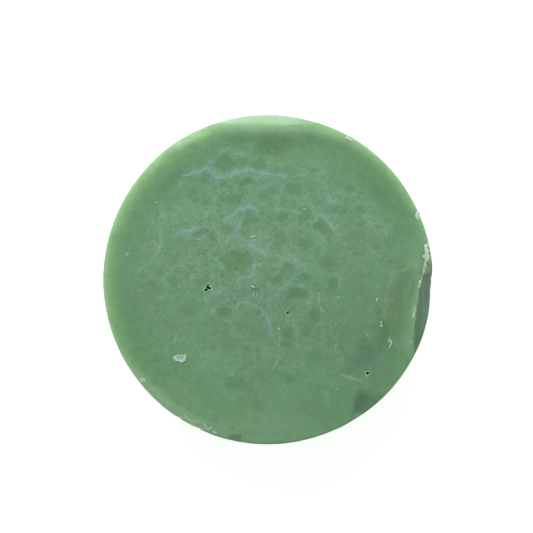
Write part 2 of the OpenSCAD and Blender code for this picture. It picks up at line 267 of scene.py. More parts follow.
# Darker scales between the veins: x, y, half length, half width, strength
SCALES = [
    (-5.9, 3.9, 3.1, 2, 0.85), (-5.6, 1.5, 0.8, 0.8, 0.6), (-13.2, 20.9, 1.6, 1.1, 0.6),
    (-9.3, 20, 1, 0.7, 0.9), (-9.1, 24.7, 2, 1.6, 0.8), (-5.7, 24.7, 1.6, 1.1, 0.6),
    (-2, 24.3, 1.4, 1.1, 0.8), (-5.5, 20.4, 2.6, 1, 0.9), (-7.4, 16.9, 2.1, 1.4, 0.8),
    (-3.8, 12.4, 1.4, 1.6, 0.9), (11.6, 11.2, 1.8, 1.3, 0.85), (3.1, 13.1, 0.8, 1, 0.9),
    (0.3, 12.5, 0.8, 0.8, 0.7), (-2.1, 12.1, 0.5, 0.7, 0.7), (7.7, 13.6, 1.3, 1.1, 0.8),
    (14.8, 15, 2, 1.2, 0.6), (19.6, 14.9, 1.1, 1, 0.7), (17.1, 18.9, 0.8, 0.8, 0.8),
    (19.6, 18.2, 0.8, 0.6, 0.6), (13.9, 17.3, 0.5, 0.3, 0.7), (9.2, 23.1, 1, 0.6, 0.7),
    (1.2, 18.8, 0.8, 0.8, 0.7), (3.4, 16.4, 0.8, 0.9, 0.6), (-1.2, 17.6, 0.8, 0.7, 0.5),
    (7.9, 0.3, 1.2, 0.9, 0.8), (13.7, -1.1, 1.3, 1.3, 0.9), (6.3, -2.9, 2.2, 1.3, 1),
    (3, -3, 0.6, 0.6, 0.6), (4.2, -11.6, 1.2, 1.6, 1), (3.9, -13.4, 0.9, 0.8, 0.9),
    (10.1, -7.8, 1.4, 1.2, 0.7), (8, -11.5, 0.8, 0.6, 0.6), (4.2, -21, 1.1, 1.3, 0.7),
    (-2.1, -7.2, 0.7, 0.6, 0.9), (-7, -4.8, 0.6, 0.5, 0.8), (-9.3, -6.7, 1.5, 1.2, 0.8),
    (-7, -21.8, 2.2, 1.4, 0.6), (-2.2, -26.5, 1.8, 1, 0.35), (-5.9, -9.8, 0.9, 0.8, 0.6),
    (-1.2, -11.6, 0.7, 0.6, 0.6), (-15.2, 9.4, 1, 0.7, 0.8), (-11.9, 9.1, 1, 0.9, 0.7),
    (-8.2, 10.3, 1.6, 1.2, 0.7), (2.4, 8.4, 1.9, 1.2, 0.7), (8.4, 7.6, 1.9, 1.1, 0.6),
    (3.9, 2.3, 1.3, 1.1, 0.8), (1.6, 0, 1.4, 0.9, 0.7), (-20, -0.8, 1.3, 0.9, 0.6),
    (-14, 17.2, 2.2, 1.4, 0.5), (5.2, 18.9, 1.6, 1.2, 0.6), (13, 3.4, 1.8, 1.4, 0.5),
    (-16.4, 17.4, 0.9, 0.8, 0.5), (-14.2, -0.9, 1.4, 1, 0.5), (-16.8, -6.6, 1.6, 1.1, 0.4),
    (-12.6, -12.8, 1.8, 1.2, 0.2), (1.4, -18.6, 1, 1.4, 0.5), (9.6, -16.4, 1.6, 1.2, 0.5)
]

# Long soft streaks in and round the groove, by tint: strength, width, then x and y of each point along it
STREAKS = {
    "brown": [
        (0.8, 0.7, 31.3, 0, 30.7, -1.8, 30.2, -3.6, 29.8, -5.6),
        (0.4, 1.3, 28.2, -0.8, 27, -3, 26.2, -6, 25.8, -9), (0.7, 1.1, 28.6, -3.6, 27.9, -6.4, 27.3, -9.4)
    ],
    "scale": [
        (0.8, 1, 23.6, -7, 24.4, -9.6, 24.6, -12.4, 24, -15)
    ],
    "chalk_and_highlight": [
        (0.14, 0.16, 30.6, 0.6, 29.8, -1.2, 29.3, -3.2, 29, -5.2),
        (0.08, 0.7, 30.4, 0.9, 29.2, -0.8, 28.8, -2.6, 29.4, -5.2),
        (0.04, 1, 27.6, 0.4, 26.4, -1.6, 25.8, -4.4, 25.7, -7),
        (0.09, 0.5, 31, 2.5, 28.4, 1.9, 26.6, 1, 25.7, -1.2, 25.1, -4.4, 24.6, -7.8),
        (0.1, 0.14, 29.2, 1.4, 27.9, -0.6, 26.9, -3.4, 26.4, -6.2),
        (0.1, 0.2, 26, -12, 27.2, -13.6, 28.2, -15.8), (0.22, 0.35, 31, -5.4, 30.9, -6.8, 30.7, -8.4)
    ]
}

# Soft oval stains by tint, with patches of painted light among them: x, y, half length, half width, turn,
# strength
STAINS = {
    "brown": [
        (27.2, -4.4, 5.8, 3.2, 70, 0.8), (26.6, -9.4, 3.6, 3.2, 84, 0.8), (26.4, 3.6, 2.2, 0.8, 20, 0.4),
        (23.2, -25.3, 2.3, 1.2, 40, 0.7), (18.4, 8.5, 3.6, 3, 0, 0.25), (-18, 8.6, 1.4, 0.8, 0, 0.4),
        (6, 6.4, 0.6, 0.5, 0, 0.5), (1.5, 29.4, 5.5, 1.6, 0, 0.45), (-27.6, -20.2, 0.9, 0.4, 130, 0.5),
        (26.5, -10.4, 0.35, 0.25, 0, 0.9), (-2.2, -26.6, 1.9, 1, 0, 0.3), (3, -34.5, 3, 0.35, 0, 0.8),
        (-3.4, -1.4, 1.7, 1.5, 0, 0.4), (-6.2, 9.6, 1.2, 0.8, 0, 0.4), (-3.6, -2.2, 3.2, 2.6, 0, 0.5),
        (24.5, -20, 4.2, 2.4, 50, 0.35)
    ],
    "scale": [
        (0.4, 28.3, 6.2, 2.9, 0, 0.85), (-6, 29.4, 5.4, 1.9, -8, 0.5), (9, 29.8, 5.4, 1.9, -12, 0.4),
        (-20.4, 20.6, 5.5, 1.2, 45, 0.4), (22.6, 19, 7, 2, -50, 0.45), (27, -14.5, 3, 5, 0, 0.3),
        (0.6, 31.6, 12, 1.3, 0, 0.45)
    ],
    "chalk_and_highlight": [
        (31.6, 5.4, 7, 2.6, 88, 0.09), (-2, -32, 17, 5, 0, 0.06), (-16, -26.5, 9, 3, -35, 0.05),
        (-18, 28.5, 1.8, 0.8, 35, 0.17), (-17.2, 29.7, 5, 0.9, 30, 0.17), (29.6, -13.8, 1.8, 2.6, 0, 0.09)
    ],
    # Painted light: brighter glowing patches by the top rim and the break
    "painted_glow": [
        (-14, 30.1, 4, 1.3, 25, 0.72), (31.1, 2.7, 1.8, 1.8, 0, 0.12)
    ],
    "blue": [
        (0, -6, 9, 8, 0, 0.45), (10, -10, 4, 3.5, 0, 0.7), (18, -18.2, 3.2, 2.8, 0, 0.9),
        (22, -22.6, 4, 2.2, 40, 0.25), (20.6, -16.8, 5.4, 5, 0, 1), (24.2, -13, 2.4, 5, 10, 0.9),
        (17, -12, 12, 13, -30, 0.4), (14, -26, 11, 5, 30, 0.3), (22.4, -9.6, 1.6, 1.5, 0, 0.7),
        (23.3, -6.4, 1.1, 1.8, 20, 0.6), (20.4, -9, 1, 1.6, 0, 0.6), (18.8, -1.6, 1.6, 1.3, 0, 0.5),
        (16.6, 3.4, 1.5, 1.9, 0, 0.45), (21.6, 1.6, 1.2, 1.5, 0, 0.45), (-1, -14, 14, 10, 0, 0.25),
        (-26.5, -6, 4, 9, 0, 0.3)
    ]
}

# How far in from the rim the soap's painted glowing light reaches, widest on the lit side: angle, width
GLOW_WIDTHS = [
    (0, 1.6), (30, 2.7), (60, 3.1), (90, 3.8), (120, 5.4), (150, 4.8), (180, 4.4), (210, 4.1), (240, 3.2),
    (262, 0.7), (300, 0.3), (335, 0.5), (360, 1.6)
]

# ---------------------------------------------------------------- shards and crumbs
# Flakes of each CAD node: seed, height, how far the middle is dished, how far it leans, then its outline
FLAKES = {
    "face_flake": [
        (101, 0.2, 0.8, 0.4, -20.1, -16.75, -19.75, -16.25, -19.3, -16.2, -19.1, -15.9, -18.6, -16.1,
         -18.2, -15.85, -17.85, -16.05, -17.45, -15.8, -17.25, -16.4, -17.3, -17.1, -17.8, -17.5, -18.5,
         -17.65, -18.95, -17.35, -19.3, -17.5, -19.7, -17.2)
    ],
    "groove_crumbs": [
        (142, 0.16, 0, 0, 23.5, -10.1, 23.65, -9.9, 23.8, -9.7, 23.85, -9.2, 24.05, -9.1, 24.1, -9.5,
         24.3, -10, 24, -10.15),
        (144, 0.18, 0, 0, 25.6, -12.3, 25.95, -12.8, 26.3, -13.4, 25.95, -14.1, 25.6, -14.8, 25.5, -14.6,
         25.75, -13.9, 25.9, -13.4, 25.7, -12.9)
    ],
    "break_edge_shards": [
        (150, 0.24, 0, 0, 33.6, 7.45, 33.25, 7.35, 32.95, 7, 33.25, 6.4, 33.15, 5.8, 33.25, 5.2, 32.75,
         5.05, 32.7, 4.6, 33.1, 4.35, 33.1, 3.6, 32.9, 3.1, 33.05, 2.5, 32.75, 1.9, 32.75, 1.3, 32.45,
         0.9, 32.7, 0.8, 33, 1.3, 33, 1.9, 33.4, 2.5, 33.4, 3.1, 33.85, 3.8, 34.05, 4.6, 33.85, 5.4, 34,
         6, 33.7, 6.6, 33.85, 7.2),
        (151, 0.2, 0, 0, 32.6, 1, 32.3, 0.6, 32.2, 0, 31.95, -0.4, 31.9, -1.1, 31.75, -1.6, 31.9, -1.85,
         32.1, -1.2, 32.3, -0.7, 32.3, -0.1, 32.55, 0.3, 32.65, 0.8),
        (152, 0.12, 0, 0, 31.25, -5.5, 31, -6.2, 30.85, -7.1, 30.65, -7.5, 30.7, -8.3, 30.85, -8.4,
         30.95, -7.5, 31.1, -6.8, 31.2, -6.1)
    ],
    "right_rim_shard": [
        (160, 0.18, 0.4, 0, 31.5, 14.25, 31.15, 13.8, 31.1, 13.2, 31.35, 12.55, 31.75, 12.4, 32.1, 12.8,
         32.2, 13.5, 31.95, 14.1)
    ],
    "top_rim_shards": [
        (170, 0.1, 0, 0, 16.35, 30.05, 16.4, 29.7, 16.9, 29.6, 17.4, 29.3, 18.1, 29, 18.2, 29.15, 17.4,
         29.75, 16.8, 30.1),
        (171, 0.06, 0, 0, -19.3, 28.2, -19, 28.25, -18.6, 28.6, -18.3, 29, -18.5, 29, -18.9, 28.6)
    ],
    "left_rim_shards": [
        (180, 0.18, 0.5, 0, -27.05, -21.2, -26.7, -20.9, -26.2, -20.95, -25.8, -21.15, -25.5, -21.2,
         -25.8, -21.6, -26.3, -21.75, -26.8, -21.6)
    ],
    "lower_rim_shaving": [
        (190, 0.1, 0, 0, -17.8, -28.8, -17.4, -28.95, -16.6, -29.45, -15.8, -29.9, -15, -30.2, -14.9,
         -30.35, -15.8, -30.15, -16.7, -29.7, -17.4, -29.2),
        (191, 0.16, 0, 0, -13.6, -30.5, -13.3, -30.6, -12.9, -31.15, -12.45, -31.6, -12.05, -31.15,
         -11.85, -31.35, -12.15, -31.9, -12.6, -31.9, -13.05, -31.5, -13.4, -31),
        (192, 0.14, 0, 0, -11.7, -32.2, -11.2, -32.15, -10.8, -32.4, -10.85, -32.6, -11.35, -32.5)
    ]
}

# Crumbs of each CAD node: seed, x, y, radius, stretch along and across, turn
CRUMBS = {
    "face_crumbs": [
        (120, -14.55, 8.45, 0.24, 1.6, 0.6, 20), (121, -14, 8.25, 0.12, 1.3, 1, 60),
        (122, -3.15, 8.9, 0.34, 1.5, 0.7, 0), (123, 7.7, 14.8, 0.2, 1, 1, 0),
        (124, 16.1, 7.5, 0.2, 0.7, 1.3, 0), (125, 8.3, 28.5, 0.13, 1, 1, 0),
        (126, -23.6, 16.2, 0.24, 1.3, 0.7, 10), (127, -19.8, 10.3, 0.15, 1.5, 0.6, 35),
        (128, 14.9, -4, 0.21, 0.8, 1.4, 0), (129, -3.1, -1.65, 0.31, 1.5, 0.7, -30),
        (130, -3.7, -1.6, 0.14, 1.3, 0.7, 0), (131, 8.7, -5.2, 0.13, 1, 1, 0),
        (132, -6.8, -6.2, 0.14, 1.2, 0.8, 40), (133, 2.4, -10.5, 0.22, 0.9, 1.3, 0),
        (134, -20.7, -9, 0.19, 0.6, 1.4, 0), (135, 14.5, -23.3, 0.15, 0.8, 1.4, -25)
    ],
    "groove_crumbs": [
        (140, 23, -4.4, 0.28, 0.75, 1.4, 5), (141, 23.85, -9.05, 0.2, 1, 1, 0),
        (143, 25.5, -13.15, 0.2, 1.5, 0.7, 20)
    ],
    "left_rim_shards": [
        (181, -24.85, -23.35, 0.18, 0.7, 1.4, 30), (182, -25.9, -22.65, 0.14, 1.4, 0.7, 45)
    ]
}

# Material of each CAD node of dry soap
SHARD_LOOKS = {
    "face_flake": "dry_flakes", "face_crumbs": "dry_crumbs", "groove_crumbs": "dry_crumbs",
    "break_edge_shards": "torn_edge", "right_rim_shard": "dry_flakes", "top_rim_shards": "dry_flakes",
    "left_rim_shards": "dry_flakes", "lower_rim_shaving": "dry_crumbs"
}

# ---------------------------------------------------------------- the view
CAMERA_AT = (-0.28, 2.66, 399)  # it looks straight down from here
LENS = 120
TABLE_HALF = 3000

# ---------------------------------------------------------------- colours
# Colours that the soap's tints turn it into, and the shades of green that it starts from
# Among these, the yellow-green glowing colour is painted light; the dark green of the broken face, the
# darkest green of the scales and the near-black also serve as painted shade, and the palest colour as a
# painted highlight
SOAP_COLOURS = {
    "dark_green": (0.110, 0.260, 0.115), "light_green": (0.134, 0.296, 0.138),
    "fine_grain": (0.190, 0.345, 0.200), "cloud": (0.140, 0.304, 0.168), "haze": (0.136, 0.254, 0.142),
    "blue": (0.096, 0.208, 0.122), "brown": (0.124, 0.218, 0.102), "scale": (0.087, 0.210, 0.082),
    "painted_glow": (0.262, 0.488, 0.196), "net": (0.238, 0.412, 0.284), "bloom": (0.238, 0.400, 0.352),
    "fracture_and_shade": (0.094, 0.184, 0.110), "chalk_and_highlight": (0.620, 0.790, 0.660), "pit_shade": (0.010, 0.024, 0.008)
}

# Dry soap: its colour, and its colour where it is thin or damp
DRY_COLOURS = {
    "dry_flakes": ((0.500, 0.670, 0.580), (0.200, 0.370, 0.260)),
    "dry_crumbs": ((0.360, 0.560, 0.430), (0.240, 0.420, 0.290)),
    "torn_edge": ((0.540, 0.640, 0.470), (0.290, 0.410, 0.260))
}
DUSTY = (0.720, 0.850, 0.780)

# The mesh's colour attributes, and the three tints that each one holds
TINT_ATTRIBUTES = {
    "marks": ("bloom", "scale", "pit_shade"),
    "tints": ("painted_glow", "brown", "blue"),
    "wear_and_painted_light": ("fracture_and_shade", "chalk_and_highlight", "net")
}


# ---------------------------------------------------------------- numbers and curves
def smooth(value):
    """0 below 0, 1 above 1, and an S-curve between."""
    value = np.clip(value, 0, 1)
    return value * value * (3 - 2 * value)


def ramp(value, start, end):
    """0 on the start side, 1 on the end side, and an S-curve between. start may be above end."""
    return smooth((value - start) / (end - start))


def window(value, start, full, fade, end):
    """0 up to start, 1 from full to fade, and 0 again from end on."""
    return ramp(value, start, full) * ramp(value, end, fade)


def hill(value, width):
    """1 where value is 0, falling smoothly away over about width on each side."""
    return np.exp(-(value / width) ** 2)


def soft_above(value, blur):
    """value where it is above 0 and 0 where it is below, with a bend about blur wide between them."""
    return (value + np.sqrt(value * value + blur * blur)) / 2


def slope(angle):
    return math.tan(math.radians(angle))


def heading(angle):
    """The cosine and sine of an angle in degrees."""
    return math.cos(math.radians(angle)), math.sin(math.radians(angle))


def hashed(cells, seed):
    """A repeatable random number from -1 to 1 for each row of three whole numbers, from a spatial hash."""
    low_bits = np.uint64(0xFFFFFFFF)
    mixed = (cells @ np.array([73856093, 19349663, 83492791]) + seed * 7919).astype(np.uint64) & low_bits
    for factor, shift in ((2246822519, 15), (3266489917, 13)):
        mixed = ((mixed ^ (mixed >> np.uint64(shift))) * np.uint64(factor)) & low_bits
    return (mixed >> np.uint64(8)).astype(float) / 2 ** 23 - 1


def noise(points, size, seed):
    """Smooth noise from -1 to 1, with its bumps about size apart."""
    scaled = points / size
    corner = np.floor(scaled).astype(np.int64)
    share = scaled - corner
    share = share ** 3 * (share * (share * 6 - 15) + 10)
    total = np.zeros(len(points))
    for step in itertools.product((0, 1), repeat=3):
        weight = np.prod(np.where(step, share, 1 - share), axis=1)
        total += weight * hashed(corner + step, seed)
    return total


def rough(points, size, seed, octaves=4):
    """Noise with finer and finer noise on it."""
    return sum(noise(points, size / 2 ** n, seed + n) / 2 ** n for n in range(octaves))


def curve_through(points, closed=False, steps=6):
    """Points along a Catmull-Rom curve through the given ones, which may be a flat list of x and y."""
    points = np.reshape(np.array(points, float), (-1, 2))
    if closed:
        padded = np.vstack([points[-1:], points, points[:2]])
    else:
        padded = np.vstack([2 * points[:1] - points[1:2], points, 2 * points[-1:] - points[-2:-1]])
    t = np.arange(steps)[:, None] / steps
    spans = []
    for a, b, c, d in zip(padded, padded[1:], padded[2:], padded[3:]):
        bend = (2 * a - 5 * b + 4 * c - d) * t ** 2 + (3 * b - a - 3 * c + d) * t ** 3
        spans.append(b + ((c - a) * t + bend) / 2)
    if not closed:
        spans.append(points[-1:])
    return np.vstack(spans)


def box_round(x, y, line, reach):
    """Which points lie in the box round a line that is reach larger than it on each side."""
    low, high = line.min(0) - reach, line.max(0) + reach
    return (x > low[0]) & (x < high[0]) & (y > low[1]) & (y < high[1])


def segments(x, y, line):
    """For each segment of a line, how far along it each point's nearest place is, and how far away."""
    for (ax, ay), (bx, by) in zip(line, line[1:]):
        along = ((x - ax) * (bx - ax) + (y - ay) * (by - ay)) / ((bx - ax) ** 2 + (by - ay) ** 2)
        along = np.clip(along, 0, 1)
        yield along, np.hypot(x - ax - along * (bx - ax), y - ay - along * (by - ay))


def distance_to_line(x, y, line, reach):
    """Distance from each point to a line of points, where it is under reach, and reach elsewhere."""
    distance = np.full(len(x), float(reach))
    near = box_round(x, y, line, reach)
    best = distance[near]
    for _, away in segments(x[near], y[near], line):
        best = np.minimum(best, away)
    distance[near] = best
    return distance


def stroke(x, y, line, width, press):
    """A soft stroke along a line, as strong at each of its points as press says."""
    amount = np.zeros(len(x))
    near = box_round(x, y, line, 3 * width)
    best = amount[near]
    for (along, away), start, end in zip(segments(x[near], y[near], line), press, press[1:]):
        pressed = start + along * (end - start)
        best = np.maximum(best, pressed * hill(away, width * (0.5 + 0.5 * pressed)))
    amount[near] = best
    return amount


def patch(x, y, at, half, turn):
    """Distance from the middle of an oval patch, 1 on its outline."""
    cos, sin = heading(turn)
    along = (x - at[0]) * cos + (y - at[1]) * sin
    across = (y - at[1]) * cos - (x - at[0]) * sin
    return np.hypot(along / half[0], across / half[1])


# ---------------------------------------------------------------- the bar before its features
def disc_grid(cells):
    """A square grid bent into a disc of radius 1: points, squares, and its rim anticlockwise from +X."""
    line = np.linspace(-1, 1, cells + 1)
    a, b = np.meshgrid(line, line, indexing="ij")
    wide = np.abs(a) >= np.abs(b)
    radius = np.where(wide, a, b)
    small, large = np.where(wide, b, a), np.where(wide, a, b)
    turn = math.pi / 4 * np.divide(small, large, out=np.zeros_like(small), where=large != 0)
    turn = np.where(wide, turn, math.pi / 2 - turn)
    points = np.column_stack([(radius * np.cos(turn)).ravel(), (radius * np.sin(turn)).ravel()])
    index = np.arange((cells + 1) ** 2).reshape(cells + 1, cells + 1)
    squares = np.stack([index[:-1, :-1], index[1:, :-1], index[1:, 1:], index[:-1, 1:]], -1).reshape(-1, 4)
    half = cells // 2
    rim = np.concatenate([
        index[-1, half:], index[:-1, -1][::-1], index[0, :-1][::-1], index[1:, 0], index[-1, 1:half]
    ])
    return points, squares, rim


def rim_rounding(angle):
    """How far the rounded edge reaches inwards and down at each angle."""
    angles, inwards, down = zip(*RIM_ROUNDING)
    return np.interp(angle, angles, inwards), np.interp(angle, angles, down)


def plain_bar():
    """The bar's mesh without features: points, faces, and for each point which way it faces, from 0
    on the face through 90 on the wall to 180 on the base."""
    points, turns, faces = [], [], []

    def add_points(x, y, z, turn):
        first = sum(len(p) for p in points)
        points.append(np.column_stack(np.broadcast_arrays(x, y, z)).astype(float))
        turns.append(np.broadcast_to(np.asarray(turn, float), len(points[-1])))
        return np.arange(first, first + len(points[-1]))

    def add_ring(radius, z, turn):
        return add_points(radius * np.cos(angle), radius * np.sin(angle), z, turn)

    def join_rings(upper, lower):
        faces.extend(zip(upper, lower, np.roll(lower, -1), np.roll(upper, -1)))

    def halve_ring(upper, lower):
        """Joins a ring to one with half as many points."""
        left, middle, right = upper[::2], upper[1::2], np.roll(upper[::2], -1)
        faces.extend(zip(left, lower, middle))
        faces.extend(zip(middle, lower, np.roll(lower, -1)))
        faces.extend(zip(middle, np.roll(lower, -1), right))

    flat, squares, ring = disc_grid(FACE_CELLS)
    inwards, _ = rim_rounding(np.degrees(np.arctan2(flat[:, 1], flat[:, 0])) % 360)
    flat = flat * (RADIUS - inwards)[:, None]
    add_points(flat[:, 0], flat[:, 1], HEIGHT, 0)
    faces.extend(squares)

    angle = np.arange(len(ring)) * 2 * math.pi / len(ring)
    inwards, down = rim_rounding(np.degrees(angle))
    for row in range(1, EDGE_ROWS + 1):
        turn = math.pi / 2 * row / EDGE_ROWS
        z = HEIGHT - down * (1 - math.cos(turn))
        new_ring = add_ring(RADIUS - inwards * (1 - math.sin(turn)), z, math.degrees(turn))
        join_rings(ring, new_ring)
        ring = new_ring

    angle = angle[::2]
    wall_top = z[::2]
    for row in range(1, WALL_ROWS + 1):
        z = wall_top + (BASE_EDGE_R - wall_top) * (row / WALL_ROWS) ** 1.5
        new_ring = add_ring(RADIUS, z, 90)
        join = halve_ring if row == 1 else join_rings
        join(ring, new_ring)
        ring = new_ring

    for row in range(1, BASE_EDGE_ROWS + 1):
        turn = math.pi / 2 * row / BASE_EDGE_ROWS
        radius = RADIUS - BASE_EDGE_R * (1 - math.cos(turn))
        new_ring = add_ring(radius, BASE_EDGE_R * (1 - math.sin(turn)), 90 + math.degrees(turn))
        join_rings(ring, new_ring)
        ring = new_ring

    flat, squares, rim = disc_grid(BASE_CELLS)
    flat = flat * (RADIUS - BASE_EDGE_R - BASE_MARGIN)
    base = add_points(flat[:, 0], flat[:, 1], 0, 180)
    faces.extend(base[squares][:, ::-1])
    halve_ring(ring, base[rim])
    return np.vstack(points), [tuple(int(i) for i in face) for face in faces], np.concatenate(turns)


def refine(bm, zones):
    """Splits the faces that zones names into four, once for each zone they are in."""
    for inside in zones:
        bm.faces.ensure_lookup_table()
        middles = np.array([face.calc_center_median() for face in bm.faces])
        chosen = np.flatnonzero(inside(middles))
        edges = {edge for i in chosen for edge in bm.faces[i].edges}
        bmesh.ops.subdivide_edges(bm, edges=list(edges), cuts=1, use_grid_fill=True)


def near_pits(reach):
    """A zone round each of the pits in the face and each bubble in the wall, reach times its size."""
    def inside(p):
        found = np.zeros(len(p), bool)
        for x, y, length, width, *_ in PITS:
            size = max(length, width)
            found |= (np.hypot(p[:, 0] - x, p[:, 1] - y) < size * reach + 0.1) & (p[:, 2] > HEIGHT / 2)
        for angle, height, radius in WALL_PITS:
            cos, sin = heading(angle)
            apart = np.linalg.norm(p - (RADIUS * cos, RADIUS * sin, height), axis=1)
            found |= apart < radius * reach + 0.2
        return found
    return inside


def near_break_edge(p):
    return (np.abs(beyond_break(p)) < 0.45) & (p[:, 2] > HEIGHT - 3)


def near_lines(lines, reach):
    """A zone on the face along each of these lines."""
    def inside(p):
        found = np.zeros(len(p), bool)
        for points in lines:
            found |= distance_to_line(p[:, 0], p[:, 1], curve_through(points), reach + 0.1) < reach
        return found & (p[:, 2] > HEIGHT - 0.5)
    return inside


def near_rings(p):
    found = np.zeros(len(p), bool)
    for x, y, radius, _ in RINGS:
        found |= np.hypot(p[:, 0] - x, p[:, 1] - y) < radius + 0.25
    return found & (p[:, 2] > HEIGHT - 0.5)


# ---------------------------------------------------------------- features
def beyond_break(p):
    """How far each point lies beyond the break's surface, or less than 0 inside the soap."""
    cos, sin = heading(BREAK_ANGLE)
    out = p[:, 0] * cos + p[:, 1] * sin
    side = p[:, 1] * cos - p[:, 0] * sin - BREAK_END
    steep, shallow = BREAK_FLARE
    flare = steep + (shallow - steep) * ramp(side, 0, -BREAK_LENGTH)
    depth = HEIGHT - p[:, 2]
    out = out - BREAK_REACH - flare * depth
    ledge_depth, ledge_width = BREAK_LEDGE
    side = side - ledge_width * np.clip(1 - depth / ledge_depth, 0, 1)
    hollow = BREAK_END_R - np.hypot(np.minimum(out, BREAK_END_R) - BREAK_END_R, np.maximum(side, 0))
    (large, large_size), (small, small_size) = BREAK_RIPPLES
    ripples = large * rough(p, large_size, 31) + small * rough(p, small_size, 41, 3)
    return hollow + ripples


class Skin:
    """The points of the soap's surface and what the features do to them: lift raises the face, sink
    presses the face and the rim down together, out moves the wall, and tints colour the material."""

    def __init__(self, points, turn):
        self.points = points
        self.x, self.y, self.z = points.T
        self.radius = np.hypot(self.x, self.y)
        self.angle = np.degrees(np.arctan2(self.y, self.x)) % 360
        self.up = np.clip(np.cos(np.radians(turn)), 0, 1)
        self.outwards = np.sin(np.radians(turn))
        self.is_top = turn < 90
        self.lift = np.zeros(len(points))
        self.sink = np.zeros(len(points))
        self.out = np.zeros(len(points))
        self.tint = {name: np.zeros(len(points)) for names in TINT_ATTRIBUTES.values() for name in names}

    def stain(self, name, amount):
        """Brings a tint up to amount where it is less."""
        self.tint[name] = np.clip(np.maximum(self.tint[name], amount), 0, 1)

    def stain_top(self, name, amount):
        """The same, on the face and its rounded edge only."""
        self.stain(name, amount * self.is_top)

    def shaped(self):
        """The points moved as the features say."""
        rim_share = np.clip((self.z - RIM_FOOT) / (RIM_TOP - RIM_FOOT), 0, 1)
        moved = self.points.copy()
        moved[:, :2] *= (1 + self.out * self.outwards / np.maximum(self.radius, 1))[:, None]
        moved[:, 2] += self.lift * self.up - self.sink * rim_share
        return moved


def add_unevenness(skin):
    """Slow swells of the face, as a wet brush leaves it, and the cast wall's own unevenness. Here and
    below, an amount times noise(points, size, seed) is how far it swells and how wide the swells are."""
    p = skin.points
    skin.lift += 0.14 * noise(p, 14, 1) + 0.05 * noise(p, 5, 2) + 0.016 * rough(p, 1.8, 3)
    streaks = noise(p * (1, 1, 0.2), 1.4, 7)
    skin.out += 0.05 * noise(p, 11, 5) + 0.03 * noise(p, 3, 6) + 0.012 * streaks
    skin.out += 0.012 * rough(p, 1.2, 8) - WALL_SHRINK
    skin.out += WALL_FOOT_OUT * ramp(skin.z, *WALL_FOOT)
    wall = 1 - skin.is_top
    skin.stain("net", 0.45 * wall)
    skin.stain("chalk_and_highlight", 0.08 * wall * ramp(streaks + 0.5 * noise(p, 6, 9), 0.25, 0.9))
    skin.stain("blue", 0.5 * wall * ramp(noise(p, 8, 10), 0.0, 0.6))
    # Painted glowing light on the wall, stronger towards its top
    skin.stain("painted_glow", 0.35 * wall * ramp(skin.z, HEIGHT - 7, HEIGHT - 1))


def add_bevel(skin):
    """The rim's top, pressed into a bevel, with the soap it pushed up as a low lip inside it. On the bevel
    lies a pale minty painted sheen, with a band of painted yellow-green light inside it.
    """
    cos, sin = heading(BEVEL_ANGLE)
    reach = skin.x * cos + skin.y * sin + 0.15 * noise(skin.points, 4, 11)
    skin.sink += soft_above(reach - BEVEL_REACH, BEVEL_BLUR) * slope(BEVEL_SLOPE)
    lip_at, lip_width, lip_height = BEVEL_LIP
    trough_at, trough_width, trough_depth = BEVEL_TROUGH
    lip = lip_height * hill(reach - lip_at, lip_width) - trough_depth * hill(reach - trough_at, trough_width)
    skin.lift += lip * ramp(np.abs(skin.x - LIP_MIDDLE), *LIP_FADE)

    # A pale painted sheen on the bevel, with a band of painted yellow-green light inside it
    drift = MINT_TILT * np.clip(skin.x, 0, 10)
    painted_sheen = ramp(np.abs(skin.x - MINT_MIDDLE), *MINT_FADE)
    painted_sheen *= ramp(reach + 0.2 * noise(skin.points, 2, 35) - (MINT_REACH + drift), 0.0, 1.0)
    skin.stain_top("chalk_and_highlight", 0.31 * painted_sheen)
    band_start, band_full = BAND_REACH
    band = ramp(reach, band_start + drift, band_full) * (1 - 0.55 * ramp(reach, *BAND_RIM))
    band *= 1 - 0.35 * window(skin.x, *BAND_DIP)
    skin.stain_top("painted_glow", 0.75 * band * ramp(np.abs(skin.x), *BAND_FADE))


def add_thumb_dent(skin):
    """The lower right of the rim, pressed down and outwards, with a sharp wall on its left. Its shade, where
    it falls away from the light, is painted into the colour.
    """
    dx, dy = skin.x - THUMB_CORNER[0], skin.y - THUMB_CORNER[1]
    fall = dx * THUMB_FALL[0] + dy * THUMB_FALL[1] + 0.2 * noise(skin.points, 2.5, 12)
    left_wall = dx - 0.14 * dy + 0.12 * noise(skin.points, 1.5, 13)
    lower_half = ramp(skin.y, *THUMB_TOP)
    right_end = ramp(skin.x, *THUMB_RIGHT)
    depth = np.minimum(soft_above(fall, 0.5) * slope(THUMB_SLOPE), THUMB_DEPTH)
    skin.sink += depth * ramp(left_wall, -0.6, 1.2) * right_end * lower_half * ramp(skin.radius, 36.5, 32.5)
    shade = ramp(left_wall, -0.7, 1.7) * right_end * ramp(fall, -1.5, 1.9)
    shade *= lower_half * ramp(skin.y, *THUMB_SHADE_END)
    # Painted shade on the dent, which falls away from the light
    skin.stain_top("fracture_and_shade", 0.85 * shade * (0.4 + 0.6 * ramp(skin.x, 24.5, 19.5)))
    skin.stain_top("scale", 0.15 * shade)
    skin.stain_top("pit_shade", 0.08 * shade * ramp(fall, 1.6, 3.2))


def add_hollow(skin):
    """A shallow dish above the dent, with a sharp lower edge that carries a painted highlight."""
    skin.lift -= HOLLOW_DEPTH * ramp(patch(skin.x, skin.y, *HOLLOW), 1, 0)
    distance = distance_to_line(skin.x, skin.y, curve_through(HOLLOW_STEP), 2.5)
    below_step = STEP_START[1] - STEP_TILT * (skin.x - STEP_START[0]) - skin.y
    step = np.clip(below_step / 0.35, -1, 1) * ramp(distance, 2.5, 0.3)
    skin.lift += STEP_HEIGHT * step * window(skin.x, *STEP_RUN)
    # Painted highlight along the step
    skin.stain_top("chalk_and_highlight", 0.17 * hill(distance, 0.11))


